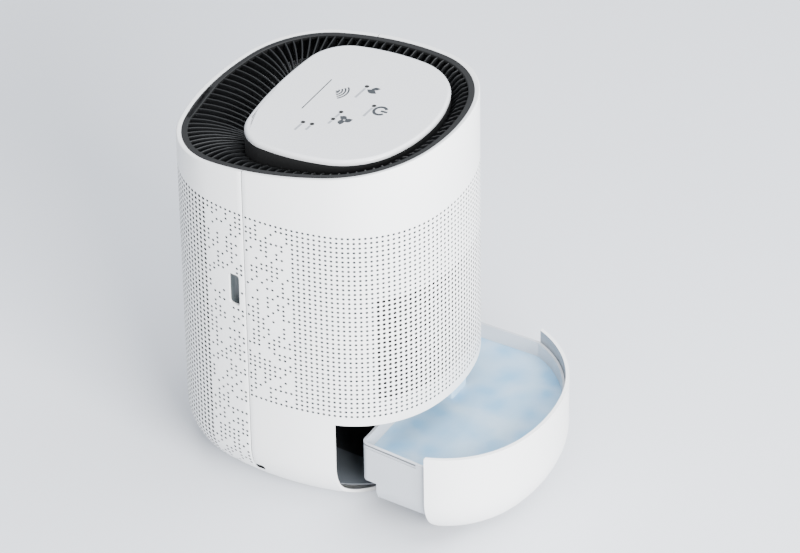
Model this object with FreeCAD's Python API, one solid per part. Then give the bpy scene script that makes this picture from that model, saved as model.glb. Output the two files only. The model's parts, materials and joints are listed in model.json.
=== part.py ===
import FreeCAD, Part
import math
import os

# Desktop Peltier dehumidifier with a pull-out water tank, in millimetres, +Z up.
# Origin: floor level, in the middle of the body. The tank side faces -Y.
V = FreeCAD.Vector
UP = V(0, 0, 1)

# Body outline: a ring of tangent arcs, given as (radius, outward normal angle at its end)
BODY_DEPTH = 243.4
FRONT_R = 0.5731 * BODY_DEPTH
SHOULDER_R = 0.3829 * BODY_DEPTH
SIDE_R = 0.9996 * BODY_DEPTH
HEEL_R = 0.3118 * BODY_DEPTH
FRONT_TURN = 13.7
SHOULDER_TURN = 74.0
SIDE_TURN = 99.4
HEEL_TURN = 164.6

# Heights and shell
TOP_Z = 349.0          # rim height over the origin
TOP_SLOPE = 0.18       # the top falls towards +Y by this much per mm
WALL = 2.5
RIM_W = 4.2            # width of the rim seen from above
RIM_H = 6.0
FLOOR_GAP = 2.0        # shell above the table
BASE_FILLET = 52.0
BASE_HOLE = 56.0       # inset of the opening under the body
SEAM_Y = 18.6          # joint between front shell and rear cover
SEAM_GAP = 0.5
FIT = 0.5              # general gap between moulded pieces
SCREW_R = 1.5

# Drawer
BAY_TOP = 102.7        # lower edge of the perforated wall above the drawer
BAY_SILL = 8.5
OPEN_HALF = 99.2
OPEN_CORNER = 20.0
PANEL_GAP = 0.8
PANEL_T = 3.0
DRAW_OUT = 86.0        # how far the tank stands out at rest
TANK_TOP = 89.7
TANK_FLOOR = 33.6
TANK_HALF = OPEN_HALF - 3.6   # outer half width beside the panel's ends
TANK_TAPER = 0.039     # narrowing per mm towards the back
TANK_BACK = 6.0
STEP_IN = 14.5         # the tank's lower back stands this far in
STEP_UP = 16.5         # height of that step over the floor
TANK_WALL = 2.2
RUN_GAP = 0.4          # tank above the bay floor

# Bay
BAY_WALL = 2.0
BAY_SIDE_GAP = 1.4
DECK_T = 2.5
DECK_GAP = 1.8         # deck above the drawer opening's upper edge

# Cooling core
SINK_HALF = 60.0
COLD_HALF = 50.0
CORE_LIFT = 27.5       # sinks above the deck, over the drip tray
HOT_H = 116.0
COLD_H = 100.0
PLATE_Y = 14.0         # joint face of the hot sink towards the modules
HOT_PLATE = 6.0
COLD_PLATE = 4.0
HOT_FIN = 44.0
COLD_FIN = 30.0
FIN_T = 1.2
HOT_FINS = 17
COLD_FINS = 13
MODULE = 40.0
MODULE_T = 3.9
MODULE_STEP = 50.0
TRAY_H = 12.0
SPOUT_R = 7.0
SPOUT_Y = -14.0

# Fan
FAN_SIDE = 120.0
FAN_H = 25.4
FAN_BORE = FAN_SIDE / 2 - 2.5
FAN_PITCH = FAN_SIDE - 15.0
HUB_R = 20.0
BLADES = 7
SHAFT_R = 1.5
SHAFT_FIT = 0.05

# Vent ring and pad
VENT_BORDER = 5.0
VENT_GAP = 0.3
VENT_DEPTH = 22.0
FINS = 92
VENT_FIN_T = 1.2
FIN_SWEEP = -10.0
FIN_LONGEST = 0.4 * BODY_DEPTH
COLLAR_T = 2.2
PAD_FRONT = -0.3998 * BODY_DEPTH
PAD_RADII = (0.4433 * BODY_DEPTH, 0.2477 * BODY_DEPTH, 0.7966 * BODY_DEPTH, 0.1512 * BODY_DEPTH)
PAD_TURNS = (23.0, 80.2, 99.1, 171.2)
PAD_LIFT = 6.4         # pad's face over the rim's plane, at the origin
PAD_SLOPE = 0.109      # the pad lies flatter than the rim
PAD_EDGE = 4.5         # thickness of the pad's overhanging edge
PAD_STEP = 2.6         # skirt inside the edge
PAD_SKIN = 3.0
PAD_DROP = 19.0        # skirt's foot under the rim's plane
PAD_ROUND = 3.0

# Lamps in the pad: x, y
LAMPS = ((27.1, -18.2), (4.7, -38.6), (-13.2, -17.9), (-24.5, -17.1), (-37.7, 3.6), (-37.3, -4.8))
KEYS = ((23.4, -26.5), (0.3, -47.0), (-22.4, -26.3))
LAMP_R = 0.9

# Perforation
DOT_PITCH = 4.75       # pitch of the decorative dots on the wall
HOLE_STEP = 2          # here every second dot is a hole right through
DOT_R = 0.95
FRONT_COLS = 20
FRONT_ROWS = 12
FRONT_HOLES_Z = 134.0
REAR_COLS = 14
REAR_ROWS = 14
REAR_HOLES_Z = 136.0

# Rear cover details
GRIP_Z = 219.5
GRIP_H = 36.0
GRIP_W = 10.0
GRIP_DEEP = 9.0
FILTER_HALF = 62.0
FILTER_H = 130.0
FILTER_Y = BODY_DEPTH / 2 - 35.7
FILTER_T = 6.0
INLET_Z = 52.0
INLET_R = 5.5

# Stand behind the bay, and rubber mat under the body
STAND_HALF = 80.0
MAT_IN = 3.0           # mat's edge inside the opening under the body
PLUG_R = 2.0
PLUG_IN = 10.5         # plugs inside the mat's edge
PLUG_FRONT_TURN = 50.0
PLUG_BACK_TURN = 128.0


# ---- outline helpers ----

def normal(turn):
    a = math.radians(turn)
    return V(math.sin(a), -math.cos(a), 0)


def arc_chain(radii, turns, front):
    """Centres, radii and angle limits of the arcs from the front round to the back."""
    centre = V(0, front + radii[0], 0)
    chain = [(centre, radii[0], 0.0, turns[0])]
    for i in range(1, len(radii)):
        centre = centre + normal(turns[i - 1]) * (radii[i - 1] - radii[i])
        chain.append((centre, radii[i], turns[i - 1], turns[i]))
    last = turns[-1]
    back_r = radii[-1] + centre.x / math.sin(math.radians(last))
    centre = centre + normal(last) * (radii[-1] - back_r)
    chain.append((centre, back_r, last, 180.0))
    return chain


BODY = arc_chain((FRONT_R, SHOULDER_R, SIDE_R, HEEL_R),
                 (FRONT_TURN, SHOULDER_TURN, SIDE_TURN, HEEL_TURN), -BODY_DEPTH / 2)
PAD = arc_chain(PAD_RADII, PAD_TURNS, PAD_FRONT)


def at_turn(chain, turn, inset=0.0):
    for centre, radius, start, end in chain:
        if turn <= end:
            break
    return centre + normal(turn) * (radius - inset)


def mirror(p):
    return V(-p.x, p.y, p.z)


def wrapped(turn):
    """The same angle between -180 and 180, negative on the -X side."""
    return (turn + 180.0) % 360.0 - 180.0


def round_place(chain, turn, inset=0.0):
    """Point and outward normal of the outline at any angle round the body."""
    turn = wrapped(turn)
    p = at_turn(chain, abs(turn), inset)
    n = normal(abs(turn))
    return (p, n) if turn >= 0 else (mirror(p), mirror(n))


def outline(chain, inset):
    right = []
    for centre, radius, start, end in chain:
        pts = [centre + normal(t) * (radius - inset) for t in (start, (start + end) / 2, end)]
        right.append(pts)
    edges = [Part.Arc(*pts).toShape() for pts in right]
    left = [Part.Arc(*[mirror(p) for p in reversed(pts)]).toShape() for pts in reversed(right)]
    return Part.Face(Part.Wire(edges + left))


def prism(chain, inset, z0, z1):
    face = outline(chain, inset)
    face.translate(V(0, 0, z0))
    return face.extrude(V(0, 0, z1 - z0))


TALL = TOP_Z + TOP_SLOPE * BODY_DEPTH + 30.0


def bowl(inset):
    """The body's solid, drawn in by inset, with its rounded foot."""
    solid = prism(BODY, inset, FLOOR_GAP + inset, TALL)
    foot = [e for e in solid.Edges if e.BoundBox.ZMax < FLOOR_GAP + inset + 0.01]
    return solid.makeFillet(BASE_FILLET - inset, foot)


def slab(dz0, dz1, slope=TOP_SLOPE):
    """What lies between two planes parallel to the sloping top, or to another slope."""
    far = BODY_DEPTH
    pts = [V(-far, y, TOP_Z - slope * y + dz)
           for y, dz in ((-far, dz0), (far, dz0), (far, dz1), (-far, dz1))]
    return Part.Face(Part.makePolygon(pts + pts[:1])).extrude(V(2 * far, 0, 0))


def box(x0, x1, y0, y1, z0, z1):
    return Part.makeBox(x1 - x0, y1 - y0, z1 - z0, V(x0, y0, z0))


def rod(r, h, x, y, z, way=UP):
    return Part.makeCylinder(r, h, V(x, y, z), way)


def fused(shapes):
    return shapes[0].multiFuse(list(shapes[1:])).removeSplitter() if len(shapes) > 1 else shapes[0]


def top_at(y, dz=0.0):
    return TOP_Z - TOP_SLOPE * y + dz


def pad_slab(dz0, dz1):
    """What lies between two planes parallel to the pad's face."""
    return slab(PAD_LIFT + dz0, PAD_LIFT + dz1, PAD_SLOPE)


def pad_at(y, dz=0.0):
    return TOP_Z + PAD_LIFT - PAD_SLOPE * y + dz


# ---- shells ----

def shell_wall():
    outer = bowl(0).common(slab(-TALL, 0))
    rim = slab(-RIM_H, 1).common(prism(BODY, RIM_W, 0, TALL))
    inner = bowl(WALL).common(slab(-2 * TALL, -RIM_H))
    hole = prism(BODY, BASE_HOLE, 0, FLOOR_GAP + WALL + 1)
    return outer.cut(rim.fuse(inner)).cut(hole)


def open_edge():
    """How far back the opening reaches: where the body is OPEN_HALF wide to each side."""
    low, high = 0.0, SHOULDER_TURN
    for i in range(40):
        mid = (low + high) / 2
        low, high = (mid, high) if at_turn(BODY, mid).x < OPEN_HALF else (low, mid)
    return at_turn(BODY, low).y


def drawer_profile(grow):
    """Opening in the front wall, drawn larger or smaller, as a block along X."""
    low = BAY_SILL - grow
    block = box(-BODY_DEPTH, BODY_DEPTH, -BODY_DEPTH, open_edge() + grow, low, BAY_TOP + grow)
    edges = [e for e in block.Edges
             if e.BoundBox.XLength > 1 and e.BoundBox.ZMax < low + 0.01 and e.BoundBox.YMin > -BODY_DEPTH / 2]
    return block.makeFillet(OPEN_CORNER + grow, edges)


def radius_at(chain, turn):
    return [r for c, r, start, end in chain if abs(wrapped(turn)) <= end][0]


HOLE_PITCH = DOT_PITCH * HOLE_STEP


def hole_turns(middle, cols):
    """Outline angles one hole pitch apart, as many on each side of the middle."""
    turns = []
    for side in (-1, 1):
        turn = middle + side * math.degrees(HOLE_PITCH / 2 / radius_at(BODY, middle))
        for i in range(cols // 2):
            turns.append(turn)
            turn = turn + side * math.degrees(HOLE_PITCH / radius_at(BODY, turn))
    return turns


def hole_cutters(middle, cols, rows, z0):
    """Rods across the wall on the square grid of holes, centred on an outline angle."""
    rods = []
    for turn in hole_turns(middle, cols):
        p, n = round_place(BODY, turn, WALL + 2)
        for row in range(rows):
            rods.append(rod(DOT_R, WALL + 4, p.x, p.y, z0 + row * HOLE_PITCH, n))
    return Part.makeCompound(rods)


def even_turns(count):
    """Outline angles at even steps along the body's edge, all the way round."""
    length = 2 * sum(r * math.radians(end - start) for c, r, start, end in BODY)
    turns = []
    for i in range(count):
        along = length * (i + 0.5) / count - length / 2
        rest = abs(along)
        for c, r, start, end in BODY:
            if rest <= r * math.radians(end - start):
                break
            rest = rest - r * math.radians(end - start)
        turns.append(math.copysign(start + math.degrees(rest / r), along))
    return turns


def front_shell(wall):
    half = wall.common(box(-200, 200, -200, SEAM_Y, 0, TALL))
    half = half.cut(drawer_profile(0))
    holes = hole_cutters(0.0, FRONT_COLS, FRONT_ROWS, FRONT_HOLES_Z)
    return half.cut(holes)


def grip_place(side):
    """Middle of a finger grip, on the wall just behind the seam."""
    y = SEAM_Y + SEAM_GAP + 3.0 + GRIP_W / 2
    centre, radius = [(c, r) for c, r, s, e in BODY if s <= 90.0 <= e][0]
    x = centre.x + math.sqrt(radius ** 2 - (y - centre.y) ** 2)
    return side * x, y


def grip_block(side, grow, deep):
    x, y = grip_place(side)
    x0, x1 = sorted((x - side * deep, x + side * 4.0))
    return box(x0, x1, y - GRIP_W / 2 - grow, y + GRIP_W / 2 + grow,
               GRIP_Z - GRIP_H / 2 - grow, GRIP_Z + GRIP_H / 2 + grow)


def rear_cover(wall):
    half = wall.common(box(-200, 200, SEAM_Y + SEAM_GAP, 200, 0, TALL))
    for side in (-1, 1):
        half = half.cut(grip_block(side, 1.2, 3 * WALL))
    half = half.cut(rod(INLET_R + 2.5, 60, 0, BODY_DEPTH / 2 - 30, INLET_Z, V(0, 1, 0)))
    inside = bowl(WALL / 2)
    for side in (-1, 1):
        x0, x1 = sorted((side * (FILTER_HALF + FIT), side * (FILTER_HALF + FIT + 3)))
        rail = box(x0, x1, FILTER_Y - 2, BODY_DEPTH / 2, CORE_Z, CORE_Z + FILTER_H)
        lip0, lip1 = sorted((side * (FILTER_HALF - 3), side * (FILTER_HALF + FIT + 3)))
        lip = box(lip0, lip1, FILTER_Y - 2, FILTER_Y - FIT / 2, CORE_Z, CORE_Z + FILTER_H)
        half = half.fuse(rail.fuse(lip).common(inside))
    stop = box(-FILTER_HALF, FILTER_HALF, FILTER_Y - 2, BODY_DEPTH / 2, CORE_Z - 3, CORE_Z)
    half = half.fuse(stop.common(inside))
    holes = hole_cutters(180.0, REAR_COLS, REAR_ROWS, REAR_HOLES_Z)
    return half.cut(holes).removeSplitter()


def grip_cups():
    cups = []
    for side in (-1, 1):
        x, y = grip_place(side)
        cup = grip_block(side, 1.0, GRIP_DEEP).common(bowl(0))
        hollow = grip_block(side, 0.0, GRIP_DEEP - 1.2)
        cups.append(cup.cut(hollow))
    return Part.makeCompound(cups)


# ---- base and bay ----

PAN_Z = FLOOR_GAP + WALL + FIT
PAN_T = 2.5
BAY_FLOOR = TANK_FLOOR - RUN_GAP
BAY_HALF = TANK_HALF + BAY_SIDE_GAP
BAY_BACK = TANK_BACK + 3.0
DECK_Z = BAY_TOP + DECK_GAP
CORE_Z = DECK_Z + CORE_LIFT


def plug_places():
    inset = BASE_HOLE + PLUG_IN
    turns = (PLUG_FRONT_TURN, PLUG_BACK_TURN, -PLUG_BACK_TURN, -PLUG_FRONT_TURN)
    places = [round_place(BODY, turn, inset)[0] for turn in turns]
    return [(p.x, p.y) for p in places]


def base_pan():
    pan = bowl(WALL + FIT).common(box(-200, 200, -200, 200, PAN_Z, PAN_Z + PAN_T))
    for x, y in plug_places():
        pan = pan.cut(rod(PLUG_R, 20, x, y, 0))
    return pan


def foot_mat():
    """Rubber mat the body stands on, held by four plugs in the pan."""
    mat = prism(BODY, BASE_HOLE + MAT_IN, 0, PAN_Z)
    low = [e for e in mat.Edges if e.BoundBox.ZMax < 0.01]
    mat = mat.makeChamfer(0.8, low)
    for x, y in plug_places():
        mat = mat.fuse(rod(PLUG_R - 0.2, PAN_T, x, y, PAN_Z))
    return mat


def bay_liner():
    """Floor, sides, back and lower apron of the drawer bay."""
    z0 = PAN_Z + PAN_T
    side = BAY_HALF + BAY_WALL
    whole = box(-side, side, -BODY_DEPTH, BAY_BACK + BAY_WALL, z0, DECK_Z)
    room = box(-BAY_HALF, BAY_HALF, -BODY_DEPTH - 1, BAY_BACK, BAY_FLOOR, DECK_Z + 1)
    under = box(-side + BAY_WALL, side - BAY_WALL, -BODY_DEPTH, BAY_BACK,
                z0 - 1, BAY_FLOOR - BAY_WALL)
    apron_y = -BODY_DEPTH / 2 + 24.0
    liner = whole.cut(room).cut(under)
    apron = box(-side, side, apron_y, apron_y + BAY_WALL, z0, BAY_FLOOR)
    front = box(-200, 200, -400, apron_y, 0, 200)
    liner = liner.fuse(apron).cut(front).common(bowl(WALL + FIT))
    return liner.removeSplitter()


def tank_deck():
    """Plate over the bay that carries the cooling core."""
    plate = bowl(WALL + FIT).common(box(-200, 200, -200, SEAM_Y + 52.0, DECK_Z, DECK_Z + DECK_T))
    return plate.cut(rod(SPOUT_R + 1.5, 20, 0, SPOUT_Y, DECK_Z - 5))


def rear_stand():
    """Wall behind the bay that carries the back of the deck and the inlet."""
    y0 = SEAM_Y + 50.0
    z0 = PAN_Z + PAN_T
    wall = box(-STAND_HALF, STAND_HALF, y0 - 2.5, y0, z0, DECK_Z)
    for side in (-1, 1):
        x0, x1 = sorted((side * STAND_HALF, side * (STAND_HALF - 2.5)))
        wall = wall.fuse(box(x0, x1, BAY_BACK + BAY_WALL + 1, y0, z0, DECK_Z))
    wall = wall.cut(rod(INLET_R - 1, 40, 0, y0 - 20, INLET_Z, V(0, 1, 0)))
    return wall.common(bowl(WALL + FIT)).removeSplitter()


# ---- tank ----

def tank_gate(inset):
    """Body section at the opening's edge drawn along the travel, so the tank's lower sides pass it."""
    wire = bowl(PANEL_T + FIT + inset).slice(V(0, 1, 0), open_edge())[0]
    gate = Part.Face(wire).extrude(V(0, 2 * BODY_DEPTH, 0))
    gate.translate(V(0, -BODY_DEPTH, 0))
    return gate


def tank_plan(inset, z0, z1):
    """Tank outline: the panel's curve in front, straight tapering sides, flat back."""
    joint_y = at_turn(BODY, SHOULDER_TURN).y
    slope = TANK_TAPER
    front_half = TANK_HALF - inset
    back = TANK_BACK - inset
    back_half = front_half - slope * (back - joint_y)
    wide = front_half + slope * (joint_y + BODY_DEPTH)
    pts = [V(-back_half, back, z0), V(back_half, back, z0),
           V(wide, -BODY_DEPTH, z0), V(-wide, -BODY_DEPTH, z0)]
    block = Part.Face(Part.makePolygon(pts + pts[:1])).extrude(V(0, 0, z1 - z0))
    return block.common(bowl(PANEL_T + FIT + inset)).common(tank_gate(inset))


def tank_body():
    """Tank with a rounded back, stepped in low down at the back."""
    outer = tank_plan(0, TANK_FLOOR, TANK_TOP)
    upright = [e for e in outer.Edges if e.BoundBox.ZLength > 40 and e.BoundBox.YMax > 0]
    outer = outer.makeFillet(6.0, upright)
    outer = outer.cut(box(-200, 200, TANK_BACK - STEP_IN, 200, 0, TANK_FLOOR + STEP_UP))
    inner = tank_plan(TANK_WALL, TANK_FLOOR + TANK_WALL, TANK_TOP + 5)
    upright = [e for e in inner.Edges if e.BoundBox.ZLength > 40 and e.BoundBox.YMax > 0]
    inner = inner.makeFillet(6.0 - TANK_WALL, upright)
    inner = inner.cut(box(-200, 200, TANK_BACK - STEP_IN - TANK_WALL, 200, 0,
                          TANK_FLOOR + STEP_UP + TANK_WALL))
    body = outer.cut(inner)
    # groove below the rim, outside
    groove = tank_plan(-1, TANK_TOP - 5.0, TANK_TOP - 3.6).cut(tank_plan(0.9, 0, 200))
    body = body.cut(groove.common(box(-200, 200, -48, 200, 0, 200)))
    # lugs that carry the float's pin
    for x in (FLOAT_X - FLOAT_W / 2 - 4.5, FLOAT_X + FLOAT_W / 2 + 1.5):
        lug = box(x, x + 3, FLOAT_Y - 4, TANK_BACK - TANK_WALL / 2, FLOAT_Z - 4, FLOAT_Z + 4)
        lug = lug.cut(rod(PIN_R, 20, x - 5, FLOAT_Y, FLOAT_Z, V(1, 0, 0)))
        body = body.fuse(lug)
    return body.removeSplitter()


def tank_front():
    """White drawer front with the body's own curve and rounded foot."""
    skin = bowl(0).cut(bowl(PANEL_T))
    skin = skin.common(drawer_profile(-PANEL_GAP))
    return skin.cut(prism(BODY, BASE_HOLE, 0, FLOOR_GAP + 6))


FLOAT_X = 20.0
FLOAT_W = 24.0
FLOAT_REACH = 18.5     # front of the float, from its pin
FLOAT_Y = TANK_BACK - TANK_WALL - 8.0
FLOAT_Z = 78.0
PIN_R = 1.2


def float_block():
    bob = box(FLOAT_X - FLOAT_W / 2, FLOAT_X + FLOAT_W / 2, FLOAT_Y - FLOAT_REACH, FLOAT_Y - 6,
              FLOAT_Z - 7, FLOAT_Z + 7)
    bob = bob.makeFillet(2.0, bob.Edges)
    arm = box(FLOAT_X - 4, FLOAT_X + 4, FLOAT_Y - 8, FLOAT_Y, FLOAT_Z - 2, FLOAT_Z + 2)
    eye = rod(3.2, 8, FLOAT_X - 4, FLOAT_Y, FLOAT_Z, V(1, 0, 0))
    body = bob.fuse(arm).fuse(eye)
    body = body.cut(rod(PIN_R + SHAFT_FIT, 40, FLOAT_X - 20, FLOAT_Y, FLOAT_Z, V(1, 0, 0)))
    body = body.cut(rod(4.0, 6, FLOAT_X, FLOAT_Y - FLOAT_REACH + 6, FLOAT_Z + 3))
    return body.removeSplitter()


def float_magnet():
    return rod(3.95, 3.6, FLOAT_X, FLOAT_Y - FLOAT_REACH + 6, FLOAT_Z + 3)


def float_pin():
    length = FLOAT_W + 9.0
    return rod(PIN_R - 0.02, length, FLOAT_X - length / 2, FLOAT_Y, FLOAT_Z, V(1, 0, 0))


def level_board():
    y0 = BAY_BACK + BAY_WALL
    board = box(FLOAT_X - 18, FLOAT_X + 18, y0, y0 + 1.6, FLOAT_Z - 14, FLOAT_Z + 14)
    switch = rod(1.5, 14, FLOAT_X - 7, y0 + 1.6 + 1.5, FLOAT_Z, V(1, 0, 0))
    return board.fuse(switch.common(box(0, 200, 0, 200, 0, 200)))


# ---- cooling core ----

def comb(half, height, z0, plate_y0, plate_y1, tip_y, count):
    plate = box(-half, half, min(plate_y0, plate_y1), max(plate_y0, plate_y1), z0, z0 + height)
    parts = [plate]
    step = (2 * half - FIN_T) / (count - 1)
    for i in range(count):
        x = -half + i * step
        parts.append(box(x, x + FIN_T, min(plate_y1, tip_y), max(plate_y1, tip_y),
                         z0, z0 + height))
    return fused(parts)


def hot_sink():
    back = PLATE_Y - HOT_PLATE
    return comb(SINK_HALF, HOT_H, CORE_Z, PLATE_Y, back, back - HOT_FIN, HOT_FINS)


COLD_Y = PLATE_Y + MODULE_T
COLD_Z = CORE_Z + (HOT_H - COLD_H) / 2


def cold_sink():
    back = COLD_Y + COLD_PLATE
    return comb(COLD_HALF, COLD_H, COLD_Z, COLD_Y, back, back + COLD_FIN, COLD_FINS)


def module_places():
    mid = CORE_Z + HOT_H / 2
    return [mid - MODULE_STEP / 2, mid + MODULE_STEP / 2]


def peltier_modules():
    return Part.makeCompound([box(-MODULE / 2, MODULE / 2, PLATE_Y, COLD_Y,
                                  z - MODULE / 2, z + MODULE / 2) for z in module_places()])


def gasket():
    pad = box(-COLD_HALF, COLD_HALF, PLATE_Y, COLD_Y, COLD_Z, COLD_Z + COLD_H)
    for z in module_places():
        pad = pad.cut(box(-MODULE / 2 - FIT, MODULE / 2 + FIT, 0, 60,
                          z - MODULE / 2 - FIT, z + MODULE / 2 + FIT))
    return pad


def drip_tray():
    z0 = DECK_Z + DECK_T
    y0 = SPOUT_Y - SPOUT_R - 6.0
    y1 = COLD_Y + COLD_PLATE + COLD_FIN + 6.0
    half = COLD_HALF + 8.0
    tray = box(-half, half, y0, y1, z0, z0 + TRAY_H)
    room = box(-half + 1.6, half - 1.6, y0 + 1.6, y1 - 1.6, z0 + 2.0, z0 + TRAY_H + 1)
    spout = rod(SPOUT_R, 11.0, 0, SPOUT_Y, z0 - 9.0)
    bore = rod(SPOUT_R - 1.6, 30.0, 0, SPOUT_Y, z0 - 12.0)
    return tray.cut(room).fuse(spout).cut(bore).removeSplitter()


CORE_HALF = SINK_HALF + 1.0
FRAME_TOP = CORE_Z + HOT_H + 14.0
FRAME_Y0 = PLATE_Y - HOT_PLATE - HOT_FIN - 1.0
FRAME_Y1 = PLATE_Y + 46.0


def core_frame():
    """Two side walls and a top plate with the fan's throat, standing on the deck."""
    z0 = DECK_Z + DECK_T
    parts = []
    for side in (-1, 1):
        x0, x1 = sorted((side * CORE_HALF, side * (CORE_HALF + 2.5)))
        parts.append(box(x0, x1, FRAME_Y0, FRAME_Y1, z0, FRAME_TOP))
        s0, s1 = sorted((side * (COLD_HALF + 9.0), side * (CORE_HALF + 1)))
        parts.append(box(s0, s1, PLATE_Y - HOT_PLATE, PLATE_Y, z0, CORE_Z))
    top = box(-CORE_HALF - 2.5, CORE_HALF + 2.5, FRAME_Y0, FAN_SIDE / 2 + 3,
              FRAME_TOP, FRAME_TOP + 2.5)
    top = top.fuse(box(-CORE_HALF - 2.5, CORE_HALF + 2.5, -FAN_SIDE / 2 - 3, FRAME_Y0,
                       FRAME_TOP, FRAME_TOP + 2.5))
    frame = fused(parts + [top])
    frame = frame.cut(rod(FAN_BORE - 3, 20, 0, 0, FRAME_TOP - 5))
    for x, y in fan_corners():
        frame = frame.cut(rod(SCREW_R + 0.4, 20, x, y, FRAME_TOP - 5))
    return frame.removeSplitter()


# ---- fan ----

FAN_Z = FRAME_TOP + 2.5


def fan_corners():
    h = FAN_PITCH / 2
    return [(x, y) for x in (-h, h) for y in (-h, h)]


def fan_frame():
    h = FAN_SIDE / 2
    frame = box(-h, h, -h, h, FAN_Z, FAN_Z + FAN_H)
    upright = [e for e in frame.Edges if e.BoundBox.ZLength > 5]
    frame = frame.makeFillet(6.0, upright)
    frame = frame.cut(rod(FAN_BORE, FAN_H + 2, 0, 0, FAN_Z - 1))
    parts = [frame, rod(HUB_R - 3, 3.0, 0, 0, FAN_Z)]
    for i in range(4):
        arm = box(HUB_R - 5, FAN_BORE + 1, -2, 2, FAN_Z, FAN_Z + 3)
        arm.rotate(V(0, 0, 0), UP, 45 + 90 * i)
        parts.append(arm)
    tube = rod(4.5, 15.0, 0, 0, FAN_Z + 3)
    parts.append(tube)
    frame = fused(parts).cut(rod(SHAFT_R + 1.5, 30, 0, 0, FAN_Z + 1.5))
    for x, y in fan_corners():
        frame = frame.cut(rod(SCREW_R + 0.4, FAN_H + 2, x, y, FAN_Z - 1))
    return frame.removeSplitter()


def fan_bearing():
    """Sintered sleeve that the shaft runs in."""
    sleeve = rod(SHAFT_R + 1.48, 14.0, 0, 0, FAN_Z + 4)
    return sleeve.cut(rod(SHAFT_R + SHAFT_FIT, 30, 0, 0, FAN_Z))


def fan_coils():
    """Stator stack with four wound poles round the bearing tube."""
    core = rod(7.0, 7.0, 0, 0, FAN_Z + 6)
    parts = [core]
    for i in range(4):
        pole = box(5, 13.0, -3.5, 3.5, FAN_Z + 6.5, FAN_Z + 12.5)
        pole.rotate(V(0, 0, 0), UP, 90 * i)
        parts.append(pole)
    return fused(parts).cut(rod(4.52, 30, 0, 0, FAN_Z))


def fan_rotor():
    z0 = FAN_Z + 4.0
    top = FAN_Z + FAN_H - 1.5
    cup = rod(HUB_R, top - z0, 0, 0, z0).cut(rod(HUB_R - 1.5, top - z0 - 2.0, 0, 0, z0 - 0.01))
    parts = [cup, rod(3.5, 3.4, 0, 0, top - 5.0)]
    for i in range(BLADES):
        parts.append(blade(360.0 * i / BLADES, z0 + 1.0, top - 1.0))
    hub = fused(parts)
    return hub.cut(rod(SHAFT_R + 0.005, 30, 0, 0, FAN_Z))


def blade(angle, z0, z1):
    """A pitched blade, cut to the tip circle and rooted in the hub."""
    tip = FAN_BORE - 1.5
    mid = (z0 + z1) / 2
    leaf = Part.makeBox(tip + 5, 40, 1.6, V(HUB_R - 0.8, -20, mid - 0.8))
    leaf.rotate(V(0, 0, mid), V(1, 0, 0), 33)
    ring = rod(tip, z1 - z0, 0, 0, z0).cut(rod(HUB_R - 0.8, z1 - z0 + 2, 0, 0, z0 - 1))
    leaf = leaf.common(ring)
    leaf.rotate(V(0, 0, 0), UP, angle)
    return leaf


def fan_magnet():
    z0 = FAN_Z + 5.0
    ring = rod(HUB_R - 1.6, 9.0, 0, 0, z0)
    return ring.cut(rod(HUB_R - 4.2, 10, 0, 0, z0 - 0.5))


def fan_shaft():
    top = FAN_Z + FAN_H - 2.5
    return rod(SHAFT_R, top - FAN_Z - 4.5, 0, 0, FAN_Z + 4.5)


def fan_screws():
    solids = []
    for x, y in fan_corners():
        z = FRAME_TOP
        solids.append(rod(3.0, 1.8, x, y, z - 1.8).fuse(rod(SCREW_R, FAN_H + 10, x, y, z - 1)))
    return Part.makeCompound(solids)


# ---- top ----

TRAY_DZ = -VENT_DEPTH - 2.0


def vent_ring():
    """Border, swept fins and the inner collar with its floor and legs."""
    edge = RIM_W + VENT_GAP
    border = prism(BODY, edge, 200, TALL).cut(prism(BODY, edge + VENT_BORDER, 199, TALL + 1))
    border = border.common(slab(-3.0, -0.6))
    skirt = prism(BODY, edge, 200, TALL).cut(prism(BODY, edge + 2.0, 199, TALL + 1))
    skirt = skirt.common(slab(TRAY_DZ, -0.6))
    above = slab(TRAY_DZ, TALL)
    collar = prism(PAD, 0, 200, TALL).cut(prism(PAD, COLLAR_T, 199, TALL + 1))
    collar = collar.common(above).common(pad_slab(-TALL, -PAD_EDGE - FIT))
    floor = prism(PAD, 0, 200, TALL).common(slab(TRAY_DZ, TRAY_DZ + 2.0))
    ring_room = prism(BODY, edge + 1.0, 200, TALL).cut(prism(PAD, COLLAR_T / 2, 199, TALL + 1))
    fins = []
    collar_face = outline(PAD, COLLAR_T / 4)
    for turn in even_turns(FINS):
        fins.append(vent_fin(turn, edge, collar_face))
    web = fins[0].multiFuse(fins[1:]).common(ring_room)
    body = border.multiFuse([skirt, collar, floor, web])
    for x, y in fan_corners():
        z0 = FAN_Z + FAN_H
        leg = rod(4.5, top_at(y, TRAY_DZ + 1.0) - z0, x, y, z0)
        leg = leg.cut(rod(SCREW_R + 0.02, 9, x, y, z0 - 1))
        body = body.fuse(leg)
    return body


def vent_fin(turn, edge, collar_face):
    """One upright fin from the border down to the collar, turned off the wall's normal."""
    a, out = round_place(BODY, turn, edge + 1.0)
    lean = math.radians(FIN_SWEEP)
    way = V(-out.x * math.cos(lean) + out.y * math.sin(lean),
            -out.y * math.cos(lean) - out.x * math.sin(lean), 0)
    reach = 4.0
    while reach < FIN_LONGEST and not collar_face.isInside(a + way * reach, 0.01, True):
        reach = reach + 1.0
    b = a + way * (reach + 0.5)
    side = V(-way.y, way.x, 0) * (VENT_FIN_T / 2)
    pts = [V(a.x, a.y, top_at(a.y, -2.6)), V(b.x, b.y, top_at(b.y, -VENT_DEPTH + 9.0)),
           V(b.x, b.y, top_at(b.y, -VENT_DEPTH)), V(a.x, a.y, top_at(a.y, -9.0))]
    pts = [p - side for p in pts]
    return Part.Face(Part.makePolygon(pts + pts[:1])).extrude(side * 2)


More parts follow.
